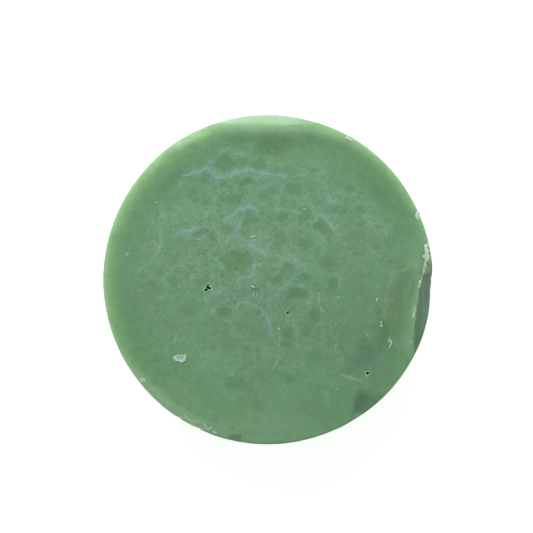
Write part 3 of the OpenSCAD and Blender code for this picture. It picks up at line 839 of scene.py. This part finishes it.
def add_groove(skin):
    """A long groove beside the break. Its outer side climbs steeply to the ragged edge of the break, along
    which a strip of painted light lies.
    """
    p = skin.points
    cos, sin = heading(BREAK_ANGLE)
    inwards = BREAK_REACH - (skin.x * cos + skin.y * sin) + 0.25 * noise(p, 3.5, 17)
    floor = window(inwards, 0.2, 2.2, 2.2, GROOVE_WIDTH)
    skin.lift -= GROOVE_DEPTH * floor * window(skin.y, *GROOVE_RUN)
    burr = hill(inwards - 0.4, 0.4) * window(skin.y, *BURR_RUN)
    skin.lift += GROOVE_BURR * burr * (0.7 + 0.8 * noise(p, 1.2, 18))

    x = skin.x + 0.3 * noise(p, 1.8, 27)
    distance = distance_to_line(x, skin.y, curve_through(GROOVE_FOLD), 2)
    fold = hill(distance, 0.2) * ramp(noise(p, 1.6, 19), -0.6, 0.6)
    skin.lift += 0.04 * fold
    skin.stain_top("chalk_and_highlight", 0.14 * fold)

    # A strip of painted light along the break
    strip_width = 0.7 + 0.7 * hill(skin.y + 6.5, 4)
    strip = hill(np.maximum(inwards - 0.3, 0) / strip_width, 1) * window(skin.y, *BRIGHT_RUN)
    skin.stain_top("painted_glow", 0.20 * strip)
    edge = hill(inwards - 0.05, 0.18) * window(skin.y, *EDGE_RUN)
    skin.stain_top("chalk_and_highlight", np.maximum(0.26 * edge, 0.04 * strip))


def add_rim_wear_and_painted_light(skin):
    """The lower left of the rim, shaved to a narrow ragged bevel, and the painted light glowing through the
    rim's thin soap, with a painted highlight on the left of the rim and painted shade along the lower rim's
    outer edge.
    """
    p = skin.points
    ragged = 0.25 * noise(p, 1.1, 14)
    shaved = window(skin.angle, *SHAVED_ARC)
    skin.sink += soft_above(skin.radius - SHAVED_BEVEL + ragged, 0.3) * SHAVED_SLOPE * shaved
    notch = hill(skin.angle - NOTCH_ANGLE, 0.55) * ramp(skin.radius, 34.2, 34.7)
    skin.out -= 0.16 * notch + 0.16 * shaved * ramp(noise(p, 0.9, 15), 0.1, 0.6)
    nick = hill(skin.angle - NICK_ANGLE, 0.5) * ramp(skin.radius, 33.4, 34.2)
    skin.sink += 0.3 * nick
    torn = window(skin.angle, *TORN_ARC) * ramp(skin.radius + ragged, 33.5, 33.9)
    skin.stain_top("chalk_and_highlight", 0.16 * torn)

    # Painted light glowing through the rim's thin soap, widest on the lit side
    share = np.clip(1 - (RADIUS - skin.radius) / np.interp(skin.angle, *zip(*GLOW_WIDTHS)), 0, 1)
    dim_angle, dim_width, dimming = DIM_RIM
    dim_rim = dimming * hill(skin.angle - dim_angle, dim_width) * ramp(skin.radius, 33, 34.3)
    share *= 1 - 0.3 * ramp(skin.y, 32.5, 34) - dim_rim
    painted_glow = share ** 1.4 * (0.85 + 0.3 * noise(p, 3, 36)) * skin.up ** 0.2
    # Painted shade along the outer edge of the lower rim
    painted_shade_edge = window(skin.angle, *SHADE_ARC) * ramp(skin.radius, 34.55, 34.8)
    skin.stain_top("painted_glow", painted_glow * (1 - painted_shade_edge))
    skin.stain_top("scale", 0.9 * painted_shade_edge)
    # Painted highlight on the left of the rim
    highlight_start = np.interp(skin.angle, [200, 232], [33.7, 31.8])
    painted_rim_highlight = window(skin.angle, *HIGHLIGHT_ARC)
    painted_rim_highlight *= ramp(skin.radius + ragged, highlight_start, highlight_start + 1.4)
    skin.stain_top("chalk_and_highlight", 0.12 * painted_rim_highlight * (1 - painted_shade_edge))


def add_pits(skin):
    """Open bubble pits with painted shade inside and pale rings, the rings of closed bubbles, and open
    bubbles in the wall, also with painted shade inside.
    """
    p = skin.points
    for i, (x, y, length, width, turn, depth, darkness, paleness) in enumerate(PITS):
        away = patch(skin.x, skin.y, (x, y), (length, width), turn) + 0.10 * noise(p, 0.25, 50 + i)
        skin.lift -= depth * ramp(away, 1.12, 0.55) * (skin.up > 0.5)
        # Painted shade inside each of the pits
        skin.stain_top("pit_shade", darkness * ramp(away, 1.15, 0.75))
        ring = paleness * hill(away - 1.5, 0.40) * ramp(noise(p, 0.9, 60), -0.8, 0.3)
        skin.lift += 0.05 * ring
        skin.stain_top("chalk_and_highlight", ring)
    for x, y, radius, strength in RINGS:
        ring = hill(np.hypot(skin.x - x, skin.y - y) - radius, 0.11) * ramp(noise(p, 0.5, 61), -0.6, 0.3)
        skin.lift += 0.02 * ring
        skin.stain_top("chalk_and_highlight", 0.5 * strength * ring)
    for i, (angle, height, radius) in enumerate(WALL_PITS):
        cos, sin = heading(angle)
        away = np.linalg.norm(p - (RADIUS * cos, RADIUS * sin, height), axis=1) / radius
        away += 0.15 * noise(p, 0.4, 70 + i)
        skin.out -= 0.7 * radius * ramp(away, 1.1, 0.3)
        # Painted shade inside each bubble
        skin.stain("scale", 0.8 * ramp(away, 1.0, 0.4))


def twigs_from(start, direction, strength, width, dice):
    """A crooked twig that fades along its length, and any twigs that branch off it in turn."""
    points = [start]
    steps = dice.randint(4, 9)
    for step in range(steps):
        direction += dice.uniform(-0.7, 0.7)
        stride = dice.uniform(0.25, 0.45)
        points.append(points[-1] + stride * np.array([math.cos(direction), math.sin(direction)]))
        if step > 1 and strength > 0.25 and dice.random() < 0.25:
            turned = direction + dice.choice((-1, 1)) * dice.uniform(0.6, 1.3)
            yield from twigs_from(points[-1], turned, 0.65 * strength, 0.9 * width, dice)
    yield strength, width, np.array(points), np.linspace(1, 0.3, steps + 1)


def branching_veins():
    """Each vein, and the twigs that branch off it: strength, width, line, and strength along the line."""
    dice = random.Random(5)
    for strength, width, *points in VEINS:
        line = curve_through(points)
        yield strength, width, line, 0.7 + 0.3 * np.sin(np.linspace(0, math.pi, len(line)))
        for i in range(1, len(line) - 1):
            if dice.random() < 0.38:
                direction = math.atan2(*(line[i + 1] - line[i - 1])[::-1])
                direction += dice.choice((-1, 1)) * dice.uniform(0.5, 1.4)
                yield from twigs_from(line[i], direction, dice.uniform(0.3, 0.6) * strength, TWIG_WIDTH, dice)


def add_veins(skin):
    """Veins of bloom, each a little raised. The material adds a finer net of them, where net says."""
    p = skin.points
    wander = np.column_stack([noise(p, 0.5, 21), noise(p, 0.5, 22)]) * 0.12
    wander += np.column_stack([noise(p, 1.3, 23), noise(p, 1.3, 24)]) * 0.20
    x, y = skin.x + wander[:, 0], skin.y + wander[:, 1]
    feathered = 0.9 + 0.55 * rough(p, 0.9, 25, 3)
    bloom = np.zeros(len(p))
    for strength, width, line, press in branching_veins():
        bloom = np.maximum(bloom, 1.45 * strength ** 1.4 * stroke(x, y, line, 0.95 * width, press))
        if width > TWIG_WIDTH:
            bloom = np.maximum(bloom, 0.26 * strength * stroke(x, y, line, 3.2 * width, press))
    bloom *= feathered
    skin.lift += 0.022 * bloom
    skin.stain_top("bloom", bloom)

    smeared = hill(patch(skin.x, skin.y, *SMEAR), 1)
    worn = ramp(skin.y + 3 * noise(p, 9, 28), 2, -14)
    fine_net = ramp(skin.radius + 2.5 * noise(p, 7, 26), 32, 22)
    skin.stain_top("net", fine_net * (1 - 0.6 * smeared) * (1 - 0.35 * worn))
    for strength, width, *points in SCRATCHES:
        distance = distance_to_line(skin.x, skin.y, curve_through(points), 1.0)
        thin = strength * hill(distance, width) * ramp(noise(p, 0.5, 29), -0.5, 0.5)
        skin.stain_top("chalk_and_highlight", 0.5 * thin)


def add_stains(skin):
    """Dark scales, soft stains and streaks, patches of painted light, and a small brown chip in the lower rim
    with painted shade in its recess.
    """
    p = skin.points
    lobes = 0.42 * noise(p, 1.4, 33) + 0.18 * noise(p, 0.7, 37)
    for x, y, length, width, strength in SCALES:
        away = patch(skin.x, skin.y, (x, y), (1.15 * length, 1.15 * width), 0) + lobes
        amount = strength * ramp(away, 1.1, 0.6)
        skin.lift -= 0.02 * amount
        skin.stain_top("scale", 0.8 * amount)
    uneven = 0.2 * noise(p, 1.6, 34)
    for name, stains in STAINS.items():
        for x, y, length, width, turn, strength in stains:
            away = patch(skin.x, skin.y, (x, y), (length, width), turn) + uneven
            skin.stain_top(name, strength * ramp(away, 1.25, 0.2))
    x = skin.x + 0.35 * noise(p, 1.6, 38) + 0.12 * noise(p, 0.6, 39)
    for name, streaks in STREAKS.items():
        for strength, width, *points in streaks:
            line = curve_through(points)
            press = 0.5 + 0.5 * np.sin(np.linspace(0, math.pi, len(line)))
            skin.stain_top(name, strength * stroke(x, skin.y, line, width, press))
    lengths, widths = zip(*CHIP_HALF)
    chip = ramp(np.abs(skin.x - CHIP_AT[0]), *lengths) * ramp(np.abs(skin.y - CHIP_AT[1]), *widths)
    # Painted shade in the chip's shallow recess; its brown is its own colour
    skin.stain("pit_shade", 0.26 * chip * (skin.z > HEIGHT - 2))
    skin.stain("brown", 0.9 * chip * (skin.z > HEIGHT - 2))
    skin.sink += 0.12 * chip


def break_off(points, tint):
    """Draws what lies beyond the break towards a point inside the soap until it meets its surface."""
    beyond = beyond_break(points) > 0
    outer = points[beyond]
    heart = np.array(BREAK_HEART)
    inner_share, outer_share = np.zeros(len(outer)), np.ones(len(outer))
    for _ in range(BREAK_HALVINGS):
        share = (inner_share + outer_share) / 2
        outside = beyond_break(heart + (outer - heart) * share[:, None]) > 0
        outer_share = np.where(outside, share, outer_share)
        inner_share = np.where(outside, inner_share, share)
    points[beyond] = heart + (outer - heart) * inner_share[:, None]

    x, y, z = points.T
    # The break's surface takes its own darker colour, deepened with painted shade
    tint["fracture_and_shade"][beyond] = 1
    for name in ("painted_glow", "bloom", "scale", "net"):
        tint[name][beyond] = 0
    tint["chalk_and_highlight"][beyond] *= 0.3
    weathered = ramp(HEIGHT - z, -0.2, 1.2) * ramp(y, -3.0, -8.0) * beyond
    ledge = ramp(y - 0.4 * (x - 33.2), 0.7, 1.3) * ramp(z, HEIGHT - 4.5, HEIGHT - 3.0) * beyond
    tint["fracture_and_shade"] *= 1 - 0.8 * ledge
    for name, amount in (
        ("chalk_and_highlight", 0.06 * weathered), ("pit_shade", 0.18 * hill(y + 3.5, 2.5) * beyond), ("brown", 0.8 * ledge),
        ("chalk_and_highlight", 0.14 * ledge)
    ):
        tint[name] = np.maximum(tint[name], amount)


def mesh_object(name, bm):
    """A smooth-shaded object made from a bmesh, which it frees."""
    bmesh.ops.recalc_face_normals(bm, faces=bm.faces)
    for face in bm.faces:
        face.smooth = True
    mesh = bpy.data.meshes.new(name)
    bm.to_mesh(mesh)
    bm.free()
    made = bpy.data.objects.new(name, mesh)
    bpy.context.scene.collection.objects.link(made)
    return made


def make_soap():
    """The whole puck as one closed mesh, with its tints as colour attributes."""
    points, faces, turns = plain_bar()
    plain = bpy.data.meshes.new("plain_bar")
    plain.from_pydata(points, [], faces)
    bm = bmesh.new()
    bm.from_mesh(plain)
    bpy.data.meshes.remove(plain)
    turn_layer = bm.verts.layers.float.new("turn")
    for vertex, turn in zip(bm.verts, turns):
        vertex[turn_layer] = turn
    veins = [points for strength, _, *points in VEINS if strength >= STRONG_VEIN]
    fine_lines = [points for _, _, *points in SCRATCHES] + [GROOVE_FOLD, HOLLOW_STEP]
    refine(bm, [
        near_pits(1.9), near_pits(1.5), near_break_edge, near_lines(veins, 0.4), near_lines(fine_lines, 0.45),
        near_rings
    ])
    points = np.array([vertex.co for vertex in bm.verts])
    turns = np.array([vertex[turn_layer] for vertex in bm.verts])
    bm.verts.layers.float.remove(turn_layer)

    skin = Skin(points, turns)
    for add_feature in (
        add_unevenness, add_bevel, add_thumb_dent, add_hollow, add_groove, add_rim_wear_and_painted_light, add_pits,
        add_veins, add_stains
    ):
        add_feature(skin)
    points = skin.shaped()
    break_off(points, skin.tint)
    hollow = BASE_HOLLOW * ramp(skin.radius, *BASE_HOLLOW_R)
    hollow += BASE_SWELLS * ramp(rough(points, 3, 16), 0.0, 1.0)
    hollow *= ramp(skin.radius, *BASE_FOOT_R)
    points[:, 2] = np.where(turns > 179, hollow, np.maximum(points[:, 2], 0))
    for vertex, point in zip(bm.verts, points):
        vertex.co = point * MM
    made = mesh_object("soap", bm)
    for attribute, names in TINT_ATTRIBUTES.items():
        layer = made.data.color_attributes.new(attribute, "FLOAT_COLOR", "POINT")
        values = np.column_stack([skin.tint[name] for name in names] + [np.ones(len(points))])
        layer.data.foreach_set("color", values.astype(np.float32).ravel())
    return made


# ---------------------------------------------------------------- materials
class Nodes:
    """Short ways to add and link the nodes of one material. Sizes are in mm."""

    def __init__(self, name):
        self.material = bpy.data.materials.new(name)
        self.material.use_nodes = True
        self.tree = self.material.node_tree
        self.shader = self.tree.nodes["Principled BSDF"]
        coordinates = self.add("TexCoord").outputs["Object"]
        scale = self.add("VectorMath", operation="SCALE")
        self.place = self.set(scale, Vector=coordinates, Scale=1 / MM).outputs["Vector"]

    def add(self, kind, **settings):
        node = self.tree.nodes.new("ShaderNode" + kind)
        for name, value in settings.items():
            setattr(node, name, value)
        return node

    def feed(self, socket, value):
        """Links a socket to another, or sets its value."""
        if isinstance(value, bpy.types.NodeSocket):
            self.tree.links.new(value, socket)
        else:
            socket.default_value = value

    def set(self, node, **inputs):
        """Sets or links a node's inputs. An underscore in a name stands for a space."""
        for name, value in inputs.items():
            self.feed(node.inputs[name.replace("_", " ")], value)
        return node

    def join(self, operation, a, b, clamp=True):
        node = self.add("Math", operation=operation, use_clamp=clamp)
        self.feed(node.inputs[0], a)
        self.feed(node.inputs[1], b)
        return node.outputs[0]

    def times(self, a, b):
        return self.join("MULTIPLY", a, b)

    def most(self, a, b):
        return self.join("MAXIMUM", a, b)

    def level(self, value, start, end, low=0.0, high=1.0):
        """value from start to end, stretched to low to high."""
        node = self.add("MapRange", interpolation_type="SMOOTHSTEP")
        self.set(node, Value=value, From_Min=start, From_Max=end, To_Min=low, To_Max=high)
        return node.outputs["Result"]

    def mix(self, share, a, b):
        """Colour a, with share of colour b. A plain colour is three numbers."""
        node = self.add("Mix", data_type="RGBA")
        for index, value in ((0, share), (6, a), (7, b)):
            self.feed(node.inputs[index], (*value, 1) if isinstance(value, tuple) else value)
        return node.outputs[2]

    def channels(self, colour):
        """The red, green and blue of a colour."""
        return self.set(self.add("SeparateColor"), Color=colour).outputs

    def attribute(self, name):
        """The three tints of a colour attribute."""
        return self.channels(self.add("VertexColor", layer_name=name).outputs["Color"])

    def noise(self, size, detail=3, roughness=0.5, place=None, output="Fac"):
        """Noise with bumps about size apart."""
        node = self.add("TexNoise")
        place = self.place if place is None else place
        self.set(node, Vector=place, Scale=1 / size, Detail=detail, Roughness=roughness)
        return node.outputs[output]

    def combed(self, size, length, turn):
        """Noise drawn out to length along a direction turn degrees from +X."""
        comb = self.add("Mapping", vector_type="TEXTURE")
        self.set(comb, Vector=self.place, Rotation=(0, 0, math.radians(turn)), Scale=(length, size, size))
        return self.noise(1, 3, 0.6, comb.outputs["Vector"])

    def warped(self, size, amount):
        """The place, pushed about by noise."""
        push = self.add("VectorMath", operation="MULTIPLY_ADD")
        for index, value in enumerate((self.noise(size, 3, 0.6, output="Color"), (amount,) * 3, self.place)):
            self.feed(push.inputs[index], value)
        return push.outputs[0]

    def cells(self, place, size, feature="F1"):
        """A pattern of cells about size across."""
        return self.set(self.add("TexVoronoi", feature=feature), Vector=place, Scale=1 / size).outputs

    def foam(self, place, size, wall):
        """Cells about size across: their walls, and the insides of some of them."""
        away = self.cells(place, size, "DISTANCE_TO_EDGE")["Distance"]
        dice = self.channels(self.cells(place, size)["Color"])["Red"]
        inside = self.times(self.level(away, 0.03, 0.28), self.level(dice, 0.35, 0.85))
        return self.level(away, wall, 0.0), inside

    def filaments(self, size, width):
        """Wandering threads, which noise of that size draws where it passes through its middle."""
        away = self.join("ABSOLUTE", self.join("SUBTRACT", self.noise(size, 5, 0.55), 0.5, False), 0.0)
        return self.level(away, width, 0.0)

    def specks(self, size):
        """Tiny dots in a fifth of the cells about size across."""
        cells = self.cells(self.place, size)
        dice = self.channels(cells["Color"])["Red"]
        return self.times(self.level(cells["Distance"], 0.11, 0.05), self.level(dice, 0.78, 0.82))

    def bump(self, height, distance, strength=1.0, under=None):
        node = self.set(self.add("Bump"), Height=height, Distance=distance * MM, Strength=strength)
        if under is not None:
            self.set(node, Normal=under)
        return node.outputs["Normal"]


def fine_net(nodes):
    """A net of thin pale walls and threads, and how dark the insides of some of its cells are."""
    here = nodes.level(nodes.noise(5.0, 3), 0.38, 0.62)
    there = nodes.level(nodes.noise(3.6, 3), 0.64, 0.40)
    small_walls, small_cells = nodes.foam(nodes.warped(0.9, 0.8), 1.25, 0.18)
    large_walls, large_cells = nodes.foam(nodes.warped(1.6, 2.2), 3.0, 0.10)
    web = nodes.times(small_walls, nodes.level(there, 0.0, 1.0, 0.08, 0.34))
    web = nodes.most(web, nodes.times(large_walls, nodes.level(here, 0.0, 1.0, 0.15, 0.60)))
    web = nodes.most(web, nodes.times(nodes.filaments(4.3, 0.034), nodes.times(here, 0.9)))
    web = nodes.most(web, nodes.times(nodes.filaments(2.3, 0.040), nodes.times(there, 0.85)))
    web = nodes.most(web, nodes.times(nodes.filaments(1.5, 0.045), 0.5))
    dark = nodes.most(nodes.times(small_cells, 0.50), nodes.times(large_cells, nodes.times(there, 0.75)))
    return web, dark


def soap_material():
    """Waxy green soap. Its tints come from the mesh, and noise breaks each of them up."""
    nodes = Nodes("green_soap")
    bloom, scale, pit_shade = nodes.attribute("marks")
    painted_glow, brown, blue = nodes.attribute("tints")
    fracture_and_shade, chalk_and_highlight, net = nodes.attribute("wear_and_painted_light")
    cloud = nodes.noise(9.0, 2)
    mottle = nodes.noise(1.6, 4, 0.6)
    grain = nodes.noise(0.45, 3, 0.6)
    fine = nodes.noise(0.22, 2, 0.5)

    web, dark = fine_net(nodes)
    web = nodes.times(web, nodes.level(grain, 0.3, 0.65, 0.35, 1.0))
    web = nodes.times(web, nodes.times(net, nodes.level(scale, 0.0, 0.6, 1.0, 0.25)))
    scale = nodes.most(scale, nodes.times(dark, net))
    frost = nodes.times(net, nodes.level(mottle, 0.45, 0.7, 0.0, 0.16))
    hatching = nodes.level(nodes.combed(0.5, 2.6, 42), 0.52, 0.68, 0.0, 0.30)
    frost = nodes.most(frost, nodes.times(hatching, net))
    along_y = nodes.set(nodes.add("SeparateXYZ"), Vector=nodes.place).outputs["Y"]
    haze = nodes.times(nodes.level(nodes.noise(6.0, 4, 0.55), 0.40, 0.60), nodes.level(along_y, 15.0, 3.0))
    fracture_and_shade = nodes.times(fracture_and_shade, nodes.level(mottle, 0.3, 0.7, 0.8, 1.0))
    specks = nodes.times(nodes.specks(1.1), nodes.level(net, 0.0, 0.5, 0.15, 0.6))
    chalk_and_highlight = nodes.times(chalk_and_highlight, nodes.level(grain, 0.25, 0.65, 0.7, 1.0))
    layers = [
        ("light_green", nodes.level(mottle, 0.35, 0.65)),
        ("fine_grain", nodes.level(fine, 0.35, 0.65, 0.0, 0.30)),
        ("cloud", nodes.level(cloud, 0.35, 0.7, 0.0, 0.35)),
        ("haze", nodes.times(nodes.times(haze, net), 0.5)),
        ("blue", nodes.times(blue, 0.8)),
        ("brown", nodes.times(brown, nodes.level(mottle, 0.3, 0.6, 0.5, 1.0))),
        # Partly painted shade: the dent, the lower rim's edge and the wall's bubbles
        ("scale", nodes.times(scale, nodes.level(grain, 0.3, 0.7, 0.6, 1.0))),
        ("painted_glow", nodes.times(painted_glow, nodes.level(mottle, 0.3, 0.7, 0.75, 1.0))),
        ("net", nodes.most(frost, web)),
        ("bloom", nodes.times(bloom, nodes.level(grain, 0.35, 0.65, 0.5, 1.0))),
        ("fracture_and_shade", fracture_and_shade),
        ("chalk_and_highlight", nodes.most(specks, chalk_and_highlight)),
        ("pit_shade", pit_shade)
    ]
    colour = SOAP_COLOURS["dark_green"]
    for name, share in layers:
        colour = nodes.mix(share, colour, SOAP_COLOURS[name])

    pores = nodes.level(nodes.cells(nodes.place, 0.7)["Distance"], 0.0, 0.35)
    normal = nodes.bump(mottle, 0.05)
    normal = nodes.bump(pores, 0.02, 0.5, normal)
    normal = nodes.bump(grain, 0.02, 1.0, normal)
    nodes.set(
        nodes.shader, Base_Color=colour, Normal=normal, IOR=1.45,
        Roughness=nodes.level(nodes.noise(2.4, 3), 0.3, 0.7, 0.44, 0.58),
        Specular_IOR_Level=nodes.level(fracture_and_shade, 0.0, 1.0, 0.5, 0.2),
        Subsurface_Weight=0.25, Subsurface_Scale=1.2 * MM, Subsurface_Radius=(0.8, 1.0, 0.7)
    )
    return nodes.material


def dry_material(name, pale, damp):
    """Dry soap: chalky and pale, but nearer the soap's own green where it is thin or still damp."""
    nodes = Nodes(name)
    dampness = nodes.most(nodes.level(nodes.noise(0.8, 4, 0.6), 0.42, 0.66), nodes.attribute("damp")["Red"])
    grain = nodes.noise(0.15, 3, 0.6)
    colour = nodes.mix(dampness, pale, damp)
    colour = nodes.mix(nodes.level(grain, 0.35, 0.75, 0.0, 0.4), colour, DUSTY)
    nodes.set(
        nodes.shader, Base_Color=colour, Roughness=nodes.level(grain, 0.3, 0.7, 0.7, 0.9),
        Normal=nodes.bump(grain, 0.03, 1.0, nodes.bump(nodes.noise(0.5, 3), 0.06)),
        Subsurface_Weight=0.15, Subsurface_Scale=0.5 * MM, Subsurface_Radius=(1.0, 1.0, 1.0)
    )
    return nodes.material


# ---------------------------------------------------------------- shards and crumbs
class Ground:
    """The finished soap's surface, in mm, for the shards to lie on."""

    def __init__(self, soap):
        points = [vertex.co / MM for vertex in soap.data.vertices]
        self.tree = BVHTree.FromPolygons(points, [tuple(face.vertices) for face in soap.data.polygons])

    def under(self, x, y):
        """The surface's point and direction straight below (x, y), or a little nearer the axis if (x, y)
        is just off the rim."""
        inwards = 0.0
        while inwards < 1.0:
            above = Vector((x * (1 - inwards), y * (1 - inwards), HEIGHT + 5))
            point, normal, _, _ = self.tree.ray_cast(above, Vector((0, 0, -1)))
            if point is not None and point.z > HEIGHT / 2:
                return point, normal
            inwards += 0.003
        raise ValueError(f"no soap under {x}, {y}")


def add_flake(bm, ground, outline, height, seed, dish, lean):
    """Adds a closed, uneven flake with that outline. dish hollows its middle, and lean lifts one end."""
    loop = curve_through(outline, closed=True, steps=4)
    probe = np.column_stack([loop, np.zeros(len(loop))])
    loop = loop + 0.07 * np.column_stack([noise(probe, 0.3, seed + 2), noise(probe, 0.3, seed + 3)])
    middle = loop.mean(0)
    span = np.abs(loop - middle).max()
    damp = bm.verts.layers.float_color["damp"]

    def add_point(x, y, rise, dampness=1.0):
        """Adds a point rise above the soap, square to its surface. Below it, a flake is damp."""
        point, normal = ground.under(x, y)
        vertex = bm.verts.new((point + normal * rise) * MM)
        vertex[damp] = (dampness,) * 4
        return vertex

    rings = [[add_point(x, y, -0.05) for x, y in middle + (loop - middle) * 0.98]]
    shares = (1.0, 0.96, 0.86, 0.7, 0.5, 0.28, 0.1)
    rises = (0.25, 0.75, 1.0, 0.96, 1.0 - dish / 2, 1.0 - dish, 1.0 - dish)
    for share, rise in zip(shares, rises):
        flat = middle + (loop - middle) * share
        probe = np.column_stack([flat, np.full(len(flat), share)])
        uneven = 1 + 0.35 * noise(probe, 0.35, seed) + 0.2 * noise(probe, 0.14, seed + 1)
        lifted = height * rise * uneven * (1 + lean * (flat[:, 0] - middle[0]) / span)
        dampness = dish * ramp(share, 0.9, 0.55)
        rings.append([add_point(x, y, up, dampness) for (x, y), up in zip(flat, lifted)])
    top = add_point(*middle, height * rises[-1], dish)
    root = add_point(*middle, -0.06)
    for i in range(len(loop)):
        j = (i + 1) % len(loop)
        for outer, inner in zip(rings, rings[1:]):
            bm.faces.new((outer[i], outer[j], inner[j], inner[i]))
        bm.faces.new((rings[-1][i], rings[-1][j], top))
        bm.faces.new((rings[0][j], rings[0][i], root))


def add_crumb(bm, ground, at, radius, seed, stretch, turn):
    """Adds a lumpy crumb that sits a third of the way into the soap."""
    point, normal = ground.under(*at)
    made = bmesh.ops.create_icosphere(bm, subdivisions=3, radius=1)["verts"]
    shape = np.array([vertex.co for vertex in made])
    lumps = 1 + 0.35 * noise(shape + seed, 0.9, seed) + 0.15 * noise(shape + seed, 0.4, seed + 1)
    shape = shape * lumps[:, None] * (radius * stretch[0], radius * stretch[1], radius * 0.4)
    cos, sin = heading(turn)
    shape[:, :2] = shape[:, :2] @ np.array([[cos, sin], [-sin, cos]])
    upright = Vector((0, 0, 1)).rotation_difference(normal)
    for vertex, offset in zip(made, shape):
        vertex.co = (point + upright @ Vector(offset) + normal * radius * 0.12) * MM


def place_piece(piece, material, node):
    """Gives a piece its material, hides the CAD node that it stands for, and attaches it to the root body."""
    piece.data.materials.append(material)
    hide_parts(node)
    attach(piece, "root")


def make_shards(ground):
    """One piece of flakes and crumbs for each CAD node of dry soap."""
    looks = {name: dry_material(name, pale, damp) for name, (pale, damp) in DRY_COLOURS.items()}
    for node, look in SHARD_LOOKS.items():
        bm = bmesh.new()
        bm.verts.layers.float_color.new("damp")
        for seed, height, dish, lean, *outline in FLAKES.get(node, ()):
            add_flake(bm, ground, outline, height, seed, dish, lean)
        for seed, x, y, radius, along, across, turn in CRUMBS.get(node, ()):
            add_crumb(bm, ground, (x, y), radius, seed, (along, across), turn)
        place_piece(mesh_object("dry_" + node, bm), looks[look], node)


# ---------------------------------------------------------------- camera, light and table
def add_camera():
    """A long lens that looks straight down on the face."""
    data = bpy.data.cameras.new("camera")
    data.lens = LENS
    data.sensor_width = 36
    data.clip_start = 0.01
    camera = bpy.data.objects.new("camera", data)
    camera.location = [value * MM for value in CAMERA_AT]
    bpy.context.scene.collection.objects.link(camera)
    bpy.context.scene.camera = camera


def add_softbox(name, angle, rise, distance, size, watts):
    """A square soft light at that angle and rise, aimed at the puck. Its sizes are in metres."""
    data = bpy.data.lights.new(name, "AREA")
    data.shape = "SQUARE"
    data.size = size
    data.energy = watts
    cos, sin = heading(angle)
    level, up = heading(rise)
    aim = Vector((cos * level, sin * level, up))
    light = bpy.data.objects.new(name, data)
    light.location = aim * distance
    light.rotation_euler = aim.to_track_quat("Z", "Y").to_euler()
    bpy.context.scene.collection.objects.link(light)


def add_world():
    """White at the horizon and dimmer overhead, like the walls and ceiling of a pale studio."""
    world = bpy.data.worlds.new("studio")
    bpy.context.scene.world = world
    world.use_nodes = True
    tree = world.node_tree
    background = tree.nodes["Background"]
    background.inputs["Color"].default_value = (1, 1, 1, 1)
    coordinates = tree.nodes.new("ShaderNodeTexCoord")
    split = tree.nodes.new("ShaderNodeSeparateXYZ")
    level = tree.nodes.new("ShaderNodeMapRange")
    for name, value in {"From Min": 0.0, "From Max": 1.0, "To Min": 1.0, "To Max": 0.15}.items():
        level.inputs[name].default_value = value
    tree.links.new(coordinates.outputs["Generated"], split.inputs[0])
    tree.links.new(split.outputs["Z"], level.inputs["Value"])
    tree.links.new(level.outputs["Result"], background.inputs["Strength"])


def add_table():
    """A plain white table that glows faintly, as a light table does, so that shadows stay soft."""
    nodes = Nodes("white_table")
    nodes.set(nodes.shader, Base_Color=(0.6, 0.6, 0.6, 1), Roughness=0.9)
    nodes.set(nodes.shader, Emission_Color=(1, 1, 1, 1), Emission_Strength=0.76)
    half = TABLE_HALF * MM
    corners = [(-half, -half, 0), (half, -half, 0), (half, half, 0), (-half, half, 0)]
    mesh = bpy.data.meshes.new("table")
    mesh.from_pydata(corners, [], [(0, 1, 2, 3)])
    mesh.materials.append(nodes.material)
    table = bpy.data.objects.new("table", mesh)
    bpy.context.scene.collection.objects.link(table)


# ---------------------------------------------------------------- the scene
bpy.context.scene.view_settings.view_transform = "Standard"
add_camera()
add_world()
add_table()
add_softbox("key", angle=103, rise=42, distance=1.2, size=0.8, watts=12.7)

soap = make_soap()
place_piece(soap, soap_material(), "soap_puck")
make_shards(Ground(soap))

bpy.context.view_layer.update()
